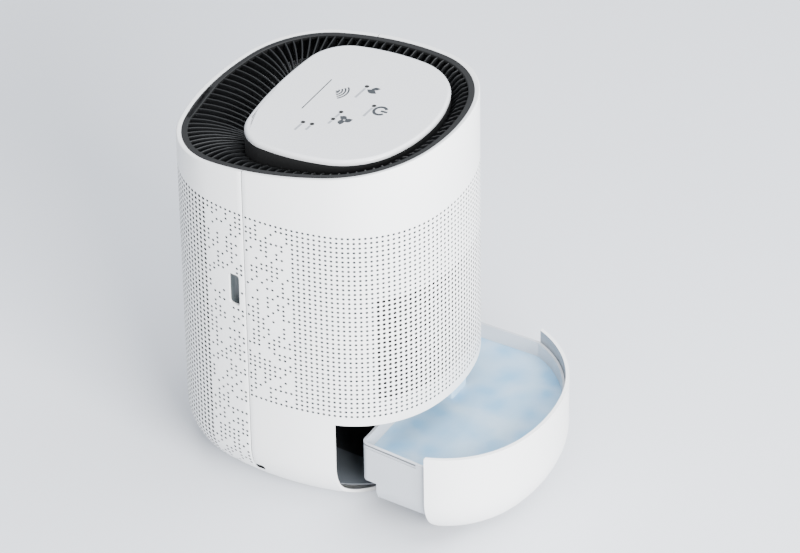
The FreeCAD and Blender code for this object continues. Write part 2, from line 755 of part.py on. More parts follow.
def control_pad():
    """Pad with a rounded, overhanging edge and a skirt inside the collar."""
    cap = prism(PAD, 0, 200, TALL).common(pad_slab(-PAD_EDGE, 0))
    high = [e for e in cap.Edges
            if abs(e.BoundBox.Center.z - pad_at(e.BoundBox.Center.y)) < 0.8]
    cap = cap.makeFillet(PAD_ROUND, high)
    skirt = prism(PAD, PAD_STEP, 200, TALL).common(slab(-PAD_DROP, TALL))
    skirt = skirt.common(pad_slab(-TALL, -PAD_EDGE + 0.5))
    room = prism(PAD, PAD_STEP + PAD_SKIN, 199, TALL + 1).common(pad_slab(-TALL, -PAD_SKIN))
    pad = cap.fuse(skirt).cut(room)
    for x, y in LAMPS:
        pad = pad.cut(rod(LAMP_R + 0.05, 20, x, y, pad_at(y) - 10))
    return pad


def lamps():
    solids = []
    for x, y in LAMPS:
        pipe = rod(LAMP_R, 20, x, y, pad_at(y, -PAD_SKIN - 2.6)).common(pad_slab(-50, 0))
        solids.append(pipe)
    return Part.makeCompound(solids)


BOARD_DZ = -PAD_SKIN - 4.6


def control_board():
    board = box(-46, 46, -58, 22, 200, TALL).common(pad_slab(BOARD_DZ, BOARD_DZ + 1.6))
    for x, y in board_posts():
        board = board.cut(rod(SCREW_R + 0.2, 200, x, y, 250))
    chip = box(8, 20, -6, 6, 200, TALL).common(pad_slab(BOARD_DZ - 1.6, BOARD_DZ))
    return board.fuse(chip)


def board_posts():
    return [(x, y) for x in (-41, 41) for y in (-53, 17)]


def touch_springs():
    """Coils, drawn as thin tubes, that carry a finger's touch to the board."""
    solids = []
    gap = 0.05
    for x, y in KEYS:
        tube = rod(3.0, 60, x, y, pad_at(y) - 30).cut(rod(2.4, 62, x, y, pad_at(y) - 31))
        solids.append(tube.common(pad_slab(BOARD_DZ + 1.6 + gap, -PAD_SKIN - gap)))
    return Part.makeCompound(solids)


def pad_posts():
    """Moulded pillars between the pad's underside and the board, with their screws' bores."""
    solids = []
    for x, y in board_posts():
        post = rod(3.2, 60, x, y, pad_at(y) - 30)
        post = post.common(pad_slab(BOARD_DZ + 1.6, -PAD_SKIN + 0.5))
        solids.append(post.cut(rod(SCREW_R - 0.3, 60, x, y, pad_at(y) - 62)))
    return solids


def board_screws():
    solids = []
    for x, y in board_posts():
        shank = rod(SCREW_R - 0.32, 60, x, y, pad_at(y) - 30)
        shank = shank.common(pad_slab(BOARD_DZ - 0.1, BOARD_DZ + 4.5))
        head = rod(2.8, 60, x, y, pad_at(y) - 30).common(pad_slab(BOARD_DZ - 1.8, BOARD_DZ))
        solids.append(shank.fuse(head))
    return Part.makeCompound(solids)


# ---- rear pieces ----

def filter_frame():
    z0 = CORE_Z
    z1 = CORE_Z + FILTER_H
    frame = box(-FILTER_HALF, FILTER_HALF, FILTER_Y, FILTER_Y + FILTER_T, z0, z1)
    frame = frame.cut(box(-FILTER_HALF + 5, FILTER_HALF - 5, 0, 200, z0 + 5, z1 - 5))
    bars = []
    for x in (-FILTER_HALF / 3, FILTER_HALF / 3):
        bars.append(box(x - 1.2, x + 1.2, FILTER_Y, FILTER_Y + 1.5, z0 + 4, z1 - 4))
    for k in (1, 2):
        z = z0 + FILTER_H * k / 3
        bars.append(box(-FILTER_HALF + 4, FILTER_HALF - 4, FILTER_Y, FILTER_Y + 1.5, z - 1.2, z + 1.2))
    return fused([frame] + bars)


def filter_media():
    g = 5.0 + 0.1
    return box(-FILTER_HALF + g, FILTER_HALF - g, FILTER_Y + 1.6, FILTER_Y + FILTER_T - 0.5,
               CORE_Z + g, CORE_Z + FILTER_H - g)


def power_board():
    z0 = PAN_Z + PAN_T + 5.0
    board = box(-50, 50, SEAM_Y + 2, SEAM_Y + 44, z0, z0 + 1.6)
    parts = [board]
    for x, y, w, d, h in ((-34, 30, 14, 14, 12), (-10, 34, 10, 10, 16), (22, 32, 22, 16, 9)):
        parts.append(box(x, x + w, y, y + d, z0 + 1.6, z0 + 1.6 + h))
    for x in (-46, 46):
        for y in (SEAM_Y + 6, SEAM_Y + 40):
            parts.append(rod(2.2, 5.0, x, y, z0 - 5.0))
    return fused(parts)


def dc_inlet():
    """Round low-voltage socket in the stand's rear wall."""
    y0 = SEAM_Y + 50.0
    body = box(-INLET_R - 2, INLET_R + 2, y0, y0 + 14, INLET_Z - INLET_R - 2, INLET_Z + INLET_R + 2)
    nose_end = BODY_DEPTH / 2 - WALL + 1.0
    nose = rod(INLET_R, nose_end - y0 - 14, 0, y0 + 14, INLET_Z, V(0, 1, 0))
    socket = body.fuse(nose)
    socket = socket.cut(rod(3.2, 20, 0, nose_end - 12, INLET_Z, V(0, 1, 0)))
    pin = rod(1.0, 10, 0, nose_end - 13, INLET_Z, V(0, 1, 0))
    return socket.fuse(pin).removeSplitter()


os.makedirs("parts", exist_ok=True)
wall = shell_wall()
pad = control_pad().multiFuse(pad_posts())
nodes = {
    "front_shell": front_shell(wall),
    "rear_cover": rear_cover(wall),
    "grip_cups": grip_cups(),
    "base_pan": base_pan(),
    "foot_mat": foot_mat(),
    "bay_liner": bay_liner(),
    "tank_deck": tank_deck(),
    "rear_stand": rear_stand(),
    "hot_sink": hot_sink(),
    "cold_sink": cold_sink(),
    "peltier_modules": peltier_modules(),
    "module_gasket": gasket(),
    "drip_tray": drip_tray(),
    "core_frame": core_frame(),
    "fan_frame": fan_frame(),
    "fan_bearing": fan_bearing(),
    "fan_coils": fan_coils(),
    "fan_rotor": fan_rotor(),
    "fan_magnet": fan_magnet(),
    "fan_shaft": fan_shaft(),
    "fan_screws": fan_screws(),
    "vent_ring": vent_ring(),
    "control_pad": pad,
    "lamps": lamps(),
    "control_board": control_board(),
    "touch_springs": touch_springs(),
    "board_screws": board_screws(),
    "filter_frame": filter_frame(),
    "filter_media": filter_media(),
    "power_board": power_board(),
    "dc_inlet": dc_inlet(),
    "level_board": level_board(),
}
DRAWER = {
    "tank_body": tank_body(),
    "tank_front": tank_front(),
    "float_block": float_block(),
    "float_magnet": float_magnet(),
    "float_pin": float_pin(),
}
for name, shape in DRAWER.items():
    shape.translate(V(0, -DRAW_OUT, 0))
    nodes[name] = shape
for name, shape in nodes.items():
    shape.exportStep("parts/" + name + ".step")
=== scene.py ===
import bpy
import bmesh
import json
import math
from mathutils import Vector, Matrix
from mathutils.kdtree import KDTree


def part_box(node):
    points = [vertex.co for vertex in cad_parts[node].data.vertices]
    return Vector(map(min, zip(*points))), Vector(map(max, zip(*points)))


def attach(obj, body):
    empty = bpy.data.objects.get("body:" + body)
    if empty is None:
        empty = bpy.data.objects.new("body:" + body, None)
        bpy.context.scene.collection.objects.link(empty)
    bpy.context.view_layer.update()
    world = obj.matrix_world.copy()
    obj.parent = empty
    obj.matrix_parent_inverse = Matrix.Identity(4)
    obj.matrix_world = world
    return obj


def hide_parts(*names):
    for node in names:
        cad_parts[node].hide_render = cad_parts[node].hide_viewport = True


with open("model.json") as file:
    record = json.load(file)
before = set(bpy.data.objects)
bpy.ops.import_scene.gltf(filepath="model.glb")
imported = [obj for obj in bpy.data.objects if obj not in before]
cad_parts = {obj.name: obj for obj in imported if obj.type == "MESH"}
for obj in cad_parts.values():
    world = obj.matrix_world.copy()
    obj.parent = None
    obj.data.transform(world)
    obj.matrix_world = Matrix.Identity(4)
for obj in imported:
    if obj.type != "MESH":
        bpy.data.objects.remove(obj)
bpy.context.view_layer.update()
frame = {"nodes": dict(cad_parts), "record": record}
NODES = frame["nodes"]
MM = 0.001

# Body outline, in mm: tangent arcs (radius, outward normal angle at the arc's end)
BODY_ARCS = ((139.49, 13.7), (93.20, 74.0), (243.30, 99.4), (75.89, 164.6))
PAD_ARCS = ((107.90, 23.0), (60.29, 80.2), (193.89, 99.1), (36.80, 171.2))
BODY_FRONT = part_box("front_shell")[0][1] / MM
PAD_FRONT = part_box("control_pad")[0][1] / MM
SLOPE = 0.18
SHELL_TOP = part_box("front_shell")[1][2] / MM
TOP_Z = SHELL_TOP + SLOPE * BODY_FRONT      # rim height over the origin
FLOOR_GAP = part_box("front_shell")[0][2] / MM
SEAM_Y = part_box("front_shell")[1][1] / MM
WALL = 2.5
RIM_W = 4.2
RIM_H = 6.0
FOOT_R = 52.0
FOOT_HOLE = 56.0
DOTS_LOW = 110.4
DOTS_HIGH = 303.0
DOT_ROWS = 40
DOT_PITCH = 4.75
DOT_R = (0, 1.25, 1.5)      # radius of the blind dots and of the open ones
PAD_LIFT = 6.4
PAD_SLOPE = 0.109
PAD_EDGE = 4.5
LAMPS = ((27.1, -18.2), (4.7, -38.6), (-13.2, -17.9), (-24.5, -17.1), (-37.7, 3.6), (-37.3, -4.8))
OPEN_TOP = 102.7
OPEN_LOW = 8.5
OPEN_HALF = 99.2
OPEN_CORNER = 20.0


# ---------- outline ----------

def normal(turn):
    a = math.radians(turn)
    return Vector((math.sin(a), -math.cos(a), 0))


def arc_chain(arcs, front):
    centre = Vector((0, front + arcs[0][0], 0))
    chain = [(centre, arcs[0][0], 0.0, arcs[0][1])]
    for (r0, end), (r1, end1) in zip(arcs, arcs[1:]):
        centre = centre + normal(end) * (r0 - r1)
        chain.append((centre, r1, end, end1))
    r0, last = arcs[-1]
    back_r = r0 + centre.x / math.sin(math.radians(last))
    chain.append((centre + normal(last) * (r0 - back_r), back_r, last, 180.0))
    return chain


BODY = arc_chain(BODY_ARCS, BODY_FRONT)
PAD = arc_chain(PAD_ARCS, PAD_FRONT)


def outline_point(chain, turn, inset=0.0):
    """Point at an outline angle from -180 to 180; negative angles are on the -X side."""
    for centre, radius, start, end in chain:
        if abs(turn) <= end:
            break
    p = centre + normal(abs(turn)) * (radius - inset)
    return p if turn >= 0 else Vector((-p.x, p.y, 0))


def arc_length(chain, turn):
    total = 0.0
    for centre, radius, start, end in chain:
        total += radius * math.radians(min(abs(turn), end) - start)
        if abs(turn) <= end:
            break
    return math.copysign(total, turn)


def turn_at(chain, along):
    rest = abs(along)
    for centre, radius, start, end in chain:
        if rest <= radius * math.radians(end - start):
            break
        rest -= radius * math.radians(end - start)
    return math.copysign(min(start + math.degrees(rest / radius), 180.0), along)


def seam_turn(y):
    """Outline angle on the side where the body's wall passes a given y."""
    low, high = 30.0, 150.0
    for i in range(40):
        mid = (low + high) / 2
        if outline_point(BODY, mid).y < y:
            low = mid
        else:
            high = mid
    return low


def open_edge():
    """How far back the drawer opening reaches: where the body is OPEN_HALF wide to each side."""
    low, high = 0.0, 74.0
    for i in range(40):
        mid = (low + high) / 2
        low, high = (mid, high) if outline_point(BODY, mid).x < OPEN_HALF else (low, mid)
    return outline_point(BODY, low).y


def top_at(y, dz=0.0):
    return TOP_Z - SLOPE * y + dz


def pad_at(y, dz=0.0):
    return TOP_Z + PAD_LIFT - PAD_SLOPE * y + dz


# ---------- mesh helpers ----------

def deselect():
    bpy.ops.object.select_all(action="DESELECT")


def make_active(obj):
    deselect()
    obj.select_set(True)
    bpy.context.view_layer.objects.active = obj


def mesh_piece(name, points, faces):
    """A mesh object from points in mm."""
    mesh = bpy.data.meshes.new(name)
    mesh.from_pydata([p * MM for p in points], [], faces)
    mesh.update()
    obj = bpy.data.objects.new(name, mesh)
    bpy.context.scene.collection.objects.link(obj)
    return obj


def outward(obj):
    make_active(obj)
    bpy.ops.object.mode_set(mode="EDIT")
    bpy.ops.mesh.select_all(action="SELECT")
    bpy.ops.mesh.remove_doubles(threshold=0.000002)
    bpy.ops.mesh.normals_make_consistent(inside=False)
    bpy.ops.object.mode_set(mode="OBJECT")


def smooth(obj, angle=32.0):
    make_active(obj)
    bpy.ops.object.shade_smooth_by_angle(angle=math.radians(angle))


def apply_modifiers(obj):
    make_active(obj)
    for m in list(obj.modifiers):
        bpy.ops.object.modifier_apply(modifier=m.name)


def settle(obj):
    """Puts the object's place into its mesh."""
    make_active(obj)
    bpy.ops.object.transform_apply(location=True, rotation=True, scale=True)


def add_box(name, low, high, bevel=0.0, segments=3):
    """A box between two corners in mm, with rounded edges."""
    deselect()
    low, high = Vector(low), Vector(high)
    bpy.ops.mesh.primitive_cube_add(size=1, location=(low + high) / 2 * MM)
    obj = bpy.context.active_object
    obj.name = name
    obj.scale = (high - low) * MM
    settle(obj)
    if bevel:
        bpy.ops.object.mode_set(mode="EDIT")
        bpy.ops.mesh.select_all(action="SELECT")
        bpy.ops.mesh.bevel(offset=bevel * MM, segments=segments, affect="EDGES")
        bpy.ops.object.mode_set(mode="OBJECT")
    return obj


def cut_away(obj, cutter):
    if not cutter.data.materials and obj.data.materials:
        dress(cutter, obj.data.materials[0])
    m = obj.modifiers.new("cut", "BOOLEAN")
    m.operation = "DIFFERENCE"
    m.solver = "EXACT"
    m.object = cutter
    m.material_mode = "TRANSFER"
    apply_modifiers(obj)
    bpy.data.objects.remove(cutter, do_unlink=True)


def join(name, objs):
    deselect()
    for o in objs:
        o.select_set(True)
    bpy.context.view_layer.objects.active = objs[0]
    bpy.ops.object.join()
    objs[0].name = name
    return objs[0]


def dress(obj, *materials):
    obj.data.materials.clear()
    for m in materials:
        obj.data.materials.append(m)


# ---------- materials ----------

def colour(code):
    """sRGB hex to linear RGBA."""
    parts = [int(code[i:i + 2], 16) / 255 for i in (1, 3, 5)]
    return [c / 12.92 if c <= 0.04045 else ((c + 0.055) / 1.055) ** 2.4 for c in parts] + [1.0]


def add(tree, kind, settings, sockets):
    """Adds a node, sets its properties, and sets or links its inputs."""
    node = tree.nodes.new(kind)
    for key, value in settings.items():
        setattr(node, key, value)
    for key, value in sockets.items():
        if isinstance(value, bpy.types.NodeSocket):
            tree.links.new(value, node.inputs[key])
        else:
            node.inputs[key].default_value = value
    return node


def blank(name):
    mat = bpy.data.materials.new(name)
    mat.use_nodes = True
    tree = mat.node_tree
    tree.nodes.clear()
    where = add(tree, "ShaderNodeTexCoord", {}, {}).outputs["Object"]
    return mat, tree, where


CLOUD_MM = 45.0                       # size of the faint mottling in moulded plastic


def plastic(name, pale, dark, rough, grain_mm, bump, ior=1.53, coat=0.0):
    """Moulded plastic: faint mottling in colour, fine spark-eroded grain in bump and roughness."""
    mat, tree, where = blank(name)
    cloud = add(tree, "ShaderNodeTexNoise", {},
                {"Vector": where, "Scale": 1000.0 / CLOUD_MM, "Detail": 3.0})
    tint = add(tree, "ShaderNodeMix", {"data_type": "RGBA"},
               {0: cloud.outputs["Fac"], 6: colour(pale), 7: colour(dark)})
    grain = add(tree, "ShaderNodeTexNoise", {},
                {"Vector": where, "Scale": 1000.0 / grain_mm, "Detail": 2.0})
    sheen = add(tree, "ShaderNodeMapRange", {},
                {"Value": grain.outputs["Fac"], "To Min": rough - 0.04, "To Max": rough + 0.05})
    relief = add(tree, "ShaderNodeBump", {},
                 {"Height": grain.outputs["Fac"], "Strength": bump, "Distance": 0.0001})
    skin = add(tree, "ShaderNodeBsdfPrincipled", {},
               {"Base Color": tint.outputs[2], "Roughness": sheen.outputs["Result"], "IOR": ior,
                "Normal": relief.outputs["Normal"], "Coat Weight": coat})
    add(tree, "ShaderNodeOutputMaterial", {}, {"Surface": skin.outputs["BSDF"]})
    return mat


def metal(name, pale, dark, rough, grain_mm, stretch=(1, 1, 1), bump=0.15):
    """Bare metal: grain drawn along one way, varying in shade and gloss."""
    mat, tree, where = blank(name)
    lie = add(tree, "ShaderNodeMapping", {}, {"Vector": where, "Scale": stretch})
    grain = add(tree, "ShaderNodeTexNoise", {},
                {"Vector": lie.outputs["Vector"], "Scale": 1000.0 / grain_mm, "Detail": 4.0})
    tint = add(tree, "ShaderNodeMix", {"data_type": "RGBA"},
               {0: grain.outputs["Fac"], 6: colour(pale), 7: colour(dark)})
    sheen = add(tree, "ShaderNodeMapRange", {},
                {"Value": grain.outputs["Fac"], "To Min": rough - 0.06, "To Max": rough + 0.08})
    relief = add(tree, "ShaderNodeBump", {},
                 {"Height": grain.outputs["Fac"], "Strength": bump, "Distance": 0.00005})
    skin = add(tree, "ShaderNodeBsdfPrincipled", {},
               {"Base Color": tint.outputs[2], "Roughness": sheen.outputs["Result"], "Metallic": 1.0,
                "Normal": relief.outputs["Normal"]})
    add(tree, "ShaderNodeOutputMaterial", {}, {"Surface": skin.outputs["BSDF"]})
    return mat


# ABS, satin moulded: white walls that scatter light softly, with a fine grain
WHITE_ABS = plastic("white_abs_satin", "#F3F3F2", "#EEEFEF", 0.38, 0.7, 0.06)
# ABS, polished mould: the pad is smoother than the walls; its white is a little darker than the walls' as
# painted shade on the pad's top
PAD_ABS = plastic("white_abs_polished", "#E3E4E6", "#DFE0E2", 0.27, 0.9, 0.03, coat=0.15)
# dark grey on the walls and floor of the blind dots and on the seams' end faces: painted shade
DOT_SHADE_GREY = plastic("painted_shade_dot_floor", "#34383C", "#2D3034", 0.6, 0.8, 0.1)
# the same dots where they open inwards: near black painted shade standing in for the dark inside behind them
DOT_SHADE_DARK = plastic("painted_shade_dot_open", "#0B0C0E", "#060708", 0.7, 0.8, 0.1)
CHARCOAL = plastic("charcoal_abs_border", "#08090A", "#060708", 0.66, 0.6, 0.25)
CHARCOAL_FIN = plastic("charcoal_abs_fins", "#0D0F11", "#0A0B0D", 0.55, 0.6, 0.3)
# near black for the collar, the plate under the fins and its legs: charcoal plastic, made darker as painted
# shade
CHARCOAL_AND_SHADE = plastic("charcoal_collar_painted_shade", "#050506", "#030304", 0.75, 0.6, 0.3)
TANK_PP = plastic("pale_pp_tank", "#BCC0C6", "#B4B9BF", 0.33, 0.8, 0.08)
DARK_PP = plastic("black_pp_matte", "#1E2023", "#17191B", 0.55, 0.7, 0.3)
CUP_GREY = plastic("grey_pp_cups", "#5A6063", "#4E5457", 0.4, 0.7, 0.2)
FAN_PBT = plastic("black_pbt_fan", "#1A1B1D", "#131416", 0.4, 0.5, 0.15)
FOOT_RUBBER = plastic("rubber_foot_mat", "#26272A", "#1D1E20", 0.8, 0.5, 0.5, ior=1.52)
CERAMIC = plastic("alumina_plates", "#E4E2DA", "#DAD8CF", 0.55, 0.4, 0.2, ior=1.76)
EVA_FOAM = plastic("eva_foam", "#2B2C2E", "#1B1C1E", 0.9, 1.6, 0.7, ior=1.45)
RIM_BAND_GREY = plastic("dark_rim_band", "#5B5F64", "#505459", 0.6, 0.5, 0.2, ior=1.41)
FLOAT_FOAM = plastic("float_polystyrene", "#A9CDE6", "#A0C4DD", 0.7, 1.8, 0.6, ior=1.45)
LENS = plastic("smoked_pc_lens", "#030303", "#020202", 0.7, 0.6, 0.02, ior=1.58)
PRINT_INK = plastic("screen_print_ink", "#34383C", "#2D3135", 0.55, 0.4, 0.05)
PALE_INK = plastic("pale_print_ink", "#A2A5AA", "#989BA0", 0.45, 0.4, 0.05)
FILTER_GREY = plastic("grey_pp_filter", "#565A5F", "#4A4E53", 0.5, 0.7, 0.2)
MAGNET = metal("sintered_ferrite", "#4A4B4E", "#38393B", 0.55, 0.4, bump=0.3)
ALUMINIUM = metal("extruded_aluminium", "#D3D6DA", "#B9BDC2", 0.34, 0.9, (1, 1, 0.05))
STEEL = metal("bright_steel", "#C9CBCE", "#AEB1B5", 0.25, 0.5, (1, 1, 0.1))
SCREW_ZINC = metal("zinc_plated_steel", "#BDBFC0", "#A2A4A4", 0.32, 0.5)
BRONZE = metal("sintered_bronze", "#A98353", "#8D6A40", 0.5, 0.3, bump=0.4)
COPPER = metal("enamelled_copper", "#B8693F", "#8E4A28", 0.3, 0.35, (1, 1, 6))


def circuit_board():
    """Glass-epoxy board: green mask with a regular trace pattern, a little raised."""
    mat, tree, where = blank("fr4_board")
    traces = add(tree, "ShaderNodeTexBrick", {"offset": 0.37},
                 {"Vector": where, "Scale": 160.0, "Color1": colour("#14532D"), "Color2": colour("#17603A"),
                  "Mortar": colour("#2E7D4B"), "Mortar Size": 0.06})
    cloud = add(tree, "ShaderNodeTexNoise", {}, {"Vector": where, "Scale": 220.0, "Detail": 3.0})
    tint = add(tree, "ShaderNodeMix", {"data_type": "RGBA", "blend_type": "MULTIPLY"},
               {0: 0.35, 6: traces.outputs["Color"], 7: cloud.outputs["Color"]})
    relief = add(tree, "ShaderNodeBump", {},
                 {"Height": traces.outputs["Fac"], "Strength": 0.4, "Distance": 0.0001})
    skin = add(tree, "ShaderNodeBsdfPrincipled", {},
               {"Base Color": tint.outputs[2], "Roughness": 0.35, "IOR": 1.55,
                "Normal": relief.outputs["Normal"]})
    add(tree, "ShaderNodeOutputMaterial", {}, {"Surface": skin.outputs["BSDF"]})
    return mat


def filter_fibre():
    """Needle-felted polyester: pale crossed fibres a few tenths of a millimetre apart."""
    mat, tree, where = blank("polyester_felt")
    across = add(tree, "ShaderNodeMapping", {}, {"Vector": where, "Scale": (1, 1, 6)})
    one = add(tree, "ShaderNodeTexNoise", {},
              {"Vector": across.outputs["Vector"], "Scale": 700.0, "Detail": 5.0, "Distortion": 1.5})
    along = add(tree, "ShaderNodeMapping", {}, {"Vector": where, "Scale": (6, 1, 1)})
    two = add(tree, "ShaderNodeTexNoise", {},
              {"Vector": along.outputs["Vector"], "Scale": 700.0, "Detail": 5.0, "Distortion": 1.5})
    both = add(tree, "ShaderNodeMath", {"operation": "MULTIPLY"},
               {0: one.outputs["Fac"], 1: two.outputs["Fac"]})
    spread = add(tree, "ShaderNodeMapRange", {},
                 {"Value": both.outputs["Value"], "From Min": 0.1, "From Max": 0.4})
    tint = add(tree, "ShaderNodeMix", {"data_type": "RGBA"},
               {0: spread.outputs["Result"], 6: colour("#8F9496"), 7: colour("#D9DBDB")})
    relief = add(tree, "ShaderNodeBump", {},
                 {"Height": both.outputs["Value"], "Strength": 0.8, "Distance": 0.0004})
    skin = add(tree, "ShaderNodeBsdfPrincipled", {},
               {"Base Color": tint.outputs[2], "Roughness": 0.95, "Sheen Weight": 0.3,
                "Normal": relief.outputs["Normal"]})
    add(tree, "ShaderNodeOutputMaterial", {}, {"Surface": skin.outputs["BSDF"]})
    return mat


def tank_water():
    """Still water over a pale floor: light blue with soft brighter webs of painted caustic light, and slow
    ripples.
    """
    mat, tree, where = blank("tank_water")
    bend = add(tree, "ShaderNodeTexNoise", {}, {"Vector": where, "Scale": 22.0, "Detail": 3.0})
    shift = add(tree, "ShaderNodeMix", {"data_type": "VECTOR"},
                {0: 0.035, 4: where, 5: bend.outputs["Color"]})
    # brighter webs: painted caustic light
    caustic_webs = add(tree, "ShaderNodeTexVoronoi", {"feature": "SMOOTH_F1"},
               {"Vector": shift.outputs[1], "Scale": 48.0, "Smoothness": 0.8})
    pale = add(tree, "ShaderNodeMapRange", {},
               {"Value": caustic_webs.outputs["Distance"], "From Min": 0.15, "From Max": 0.75})
    cloud = add(tree, "ShaderNodeTexNoise", {}, {"Vector": where, "Scale": 14.0, "Detail": 2.0})
    blend = add(tree, "ShaderNodeMath", {"operation": "MULTIPLY"},
                {0: pale.outputs["Result"], 1: cloud.outputs["Fac"]})
    tint = add(tree, "ShaderNodeMix", {"data_type": "RGBA"},
               {0: blend.outputs["Value"], 6: colour("#8FC3E8"), 7: colour("#DCEDF8")})
    ripple = add(tree, "ShaderNodeTexNoise", {}, {"Vector": where, "Scale": 60.0, "Detail": 2.0})
    relief = add(tree, "ShaderNodeBump", {},
                 {"Height": ripple.outputs["Fac"], "Strength": 0.25, "Distance": 0.001})
    skin = add(tree, "ShaderNodeBsdfPrincipled", {},
               {"Base Color": tint.outputs[2], "Roughness": 0.08, "IOR": 1.333,
                "Transmission Weight": 0.25, "Normal": relief.outputs["Normal"]})
    add(tree, "ShaderNodeOutputMaterial", {}, {"Surface": skin.outputs["BSDF"]})
    return mat


def drawer_front_painted_shade():
    """Drawer front: white outside, with grey painted shade on the faces turned back to the body."""
    mat, tree, where = blank("white_abs_front_painted_shade")
    facing = add(tree, "ShaderNodeSeparateXYZ", {},
                 {"Vector": add(tree, "ShaderNodeTexCoord", {}, {}).outputs["Normal"]})
    # faces turned back towards the body are mixed to grey: painted shade, not a different plastic
    inner = add(tree, "ShaderNodeMapRange", {},
                {"Value": facing.outputs["Y"], "From Min": 0.12, "From Max": 0.2})
    cloud = add(tree, "ShaderNodeTexNoise", {}, {"Vector": where, "Scale": 22.0, "Detail": 3.0})
    white = add(tree, "ShaderNodeMix", {"data_type": "RGBA"},
                {0: cloud.outputs["Fac"], 6: colour("#F3F3F2"), 7: colour("#EEEFEF")})
    tint = add(tree, "ShaderNodeMix", {"data_type": "RGBA"},
               {0: inner.outputs["Result"], 6: white.outputs[2], 7: colour("#868B92")})
    grain = add(tree, "ShaderNodeTexNoise", {}, {"Vector": where, "Scale": 1400.0, "Detail": 2.0})
    relief = add(tree, "ShaderNodeBump", {},
                 {"Height": grain.outputs["Fac"], "Strength": 0.06, "Distance": 0.0001})
    skin = add(tree, "ShaderNodeBsdfPrincipled", {},
               {"Base Color": tint.outputs[2], "Roughness": 0.38, "IOR": 1.53,
                "Normal": relief.outputs["Normal"]})
    add(tree, "ShaderNodeOutputMaterial", {}, {"Surface": skin.outputs["BSDF"]})
    return mat


def bay_painted_light_and_shade():
    """Bay mouldings: a dark grey band low down at each side, painted light for a lit side face, and near
    black everywhere else, the dark plastic with painted shade.
    """
    mat, tree, where = blank("dark_pp_bay")
    split = add(tree, "ShaderNodeSeparateXYZ", {}, {"Vector": where})
    across = add(tree, "ShaderNodeMath", {"operation": "ABSOLUTE"}, {0: split.outputs["X"]})
    lit_band_across = add(tree, "ShaderNodeMapRange", {},
                 {"Value": across.outputs["Value"], "From Min": 0.0528, "From Max": 0.0534})
    low = add(tree, "ShaderNodeMapRange", {},
              {"Value": split.outputs["Z"], "From Min": 0.0345, "From Max": 0.0335})
    strip = add(tree, "ShaderNodeMath", {"operation": "MULTIPLY"},
                {0: lit_band_across.outputs["Result"], 1: low.outputs["Result"]})
    cloud = add(tree, "ShaderNodeTexNoise", {}, {"Vector": where, "Scale": 24.0, "Detail": 3.0})
    grey = add(tree, "ShaderNodeMix", {"data_type": "RGBA"},
               {0: cloud.outputs["Fac"], 6: colour("#4C5156"), 7: colour("#454A4F")})
    # grey band low down at each side: painted light; near black elsewhere: painted shade
    tint = add(tree, "ShaderNodeMix", {"data_type": "RGBA"},
               {0: strip.outputs["Value"], 6: colour("#16181A"), 7: grey.outputs[2]})
    grain = add(tree, "ShaderNodeTexNoise", {}, {"Vector": where, "Scale": 1250.0, "Detail": 2.0})
    relief = add(tree, "ShaderNodeBump", {},
                 {"Height": grain.outputs["Fac"], "Strength": 0.25, "Distance": 0.0001})
    skin = add(tree, "ShaderNodeBsdfPrincipled", {},
               {"Base Color": tint.outputs[2], "Roughness": 0.6, "IOR": 1.49,
                "Normal": relief.outputs["Normal"]})
    add(tree, "ShaderNodeOutputMaterial", {}, {"Surface": skin.outputs["BSDF"]})
    return mat


FRONT_ABS = drawer_front_painted_shade()
BAY_GREY = bay_painted_light_and_shade()
BOARD = circuit_board()
FELT = filter_fibre()
WATER = tank_water()


# ---------- shells ----------

def shell_rows(dots_from_foot):
    """Wall section as pairs (outer, inner) of (inset, height rule), from the foot's lip up to the rim."""
    rows = [((FOOT_HOLE, FLOOR_GAP, 0), (FOOT_HOLE, FLOOR_GAP + WALL, 0))]
    steps = 17
    for i in range(steps + 1):
        a = math.pi / 2 * i / steps
        inner = FOOT_R - WALL
        rows.append(((FOOT_R * (1 - math.sin(a)), FLOOR_GAP + FOOT_R * (1 - math.cos(a)), 0),
                     (WALL + inner * (1 - math.sin(a)), FLOOR_GAP + WALL + inner * (1 - math.cos(a)), 0)))
    low = FLOOR_GAP + FOOT_R
    if dots_from_foot:
        count = round((DOTS_LOW - low) / DOT_PITCH)
    else:
        count = 4
    for i in range(1, count + 1):
        z = low + (DOTS_LOW - low) * i / count
        rows.append(((0, z, 0), (WALL, z, 0)))
    for i in range(1, DOT_ROWS + 1):
        z = DOTS_LOW + (DOTS_HIGH - DOTS_LOW) * i / DOT_ROWS
        rows.append(((0, z, 0), (WALL, z, 0)))
    # the band above follows the sloping rim: third value is the share of the way up to it
    rows.append(((0, 0, 0.5), (WALL, 0, 0.5)))
    drops = ((0.0, 1.2, WALL), (0.09, 0.74, WALL), (0.35, 0.35, WALL), (0.74, 0.09, WALL),
             (1.2, 0.0, RIM_W))
    for i, (inset, drop, inner) in enumerate(drops):
        under = RIM_H + 0.4 * (4 - i) if i < 4 else 0.8
        rows.append(((inset, -drop, 1), (inner, -under, 1)))
    return rows


def row_point(turn, spec, lip=0.0):
    inset, height, share = spec
    p = outline_point(BODY, turn, inset + lip)
    edge_y = p.y
    if share == 0:
        z = height
    elif share == 1:
        z = top_at(edge_y, height)
    else:
        z = DOTS_HIGH + (top_at(edge_y) - 6.0 - DOTS_HIGH) * share
    return Vector((p.x, p.y, z))


def lipped(turns):
    """Columns as (turn, extra inset): the wall turns in a little at its two side edges."""
    first, last = [arc_length(BODY, t) for t in (turns[0], turns[-1])]
    columns = []
    for step, lip in ((0.0, 0.8), (0.3, 0.25), (0.9, 0.0)):
        columns.append((turn_at(BODY, first + step), lip))
    columns += [(t, 0.0) for t in turns[1:-1]]
    for step, lip in ((0.9, 0.0), (0.3, 0.25), (0.0, 0.8)):
        columns.append((turn_at(BODY, last - step), lip))
    return columns


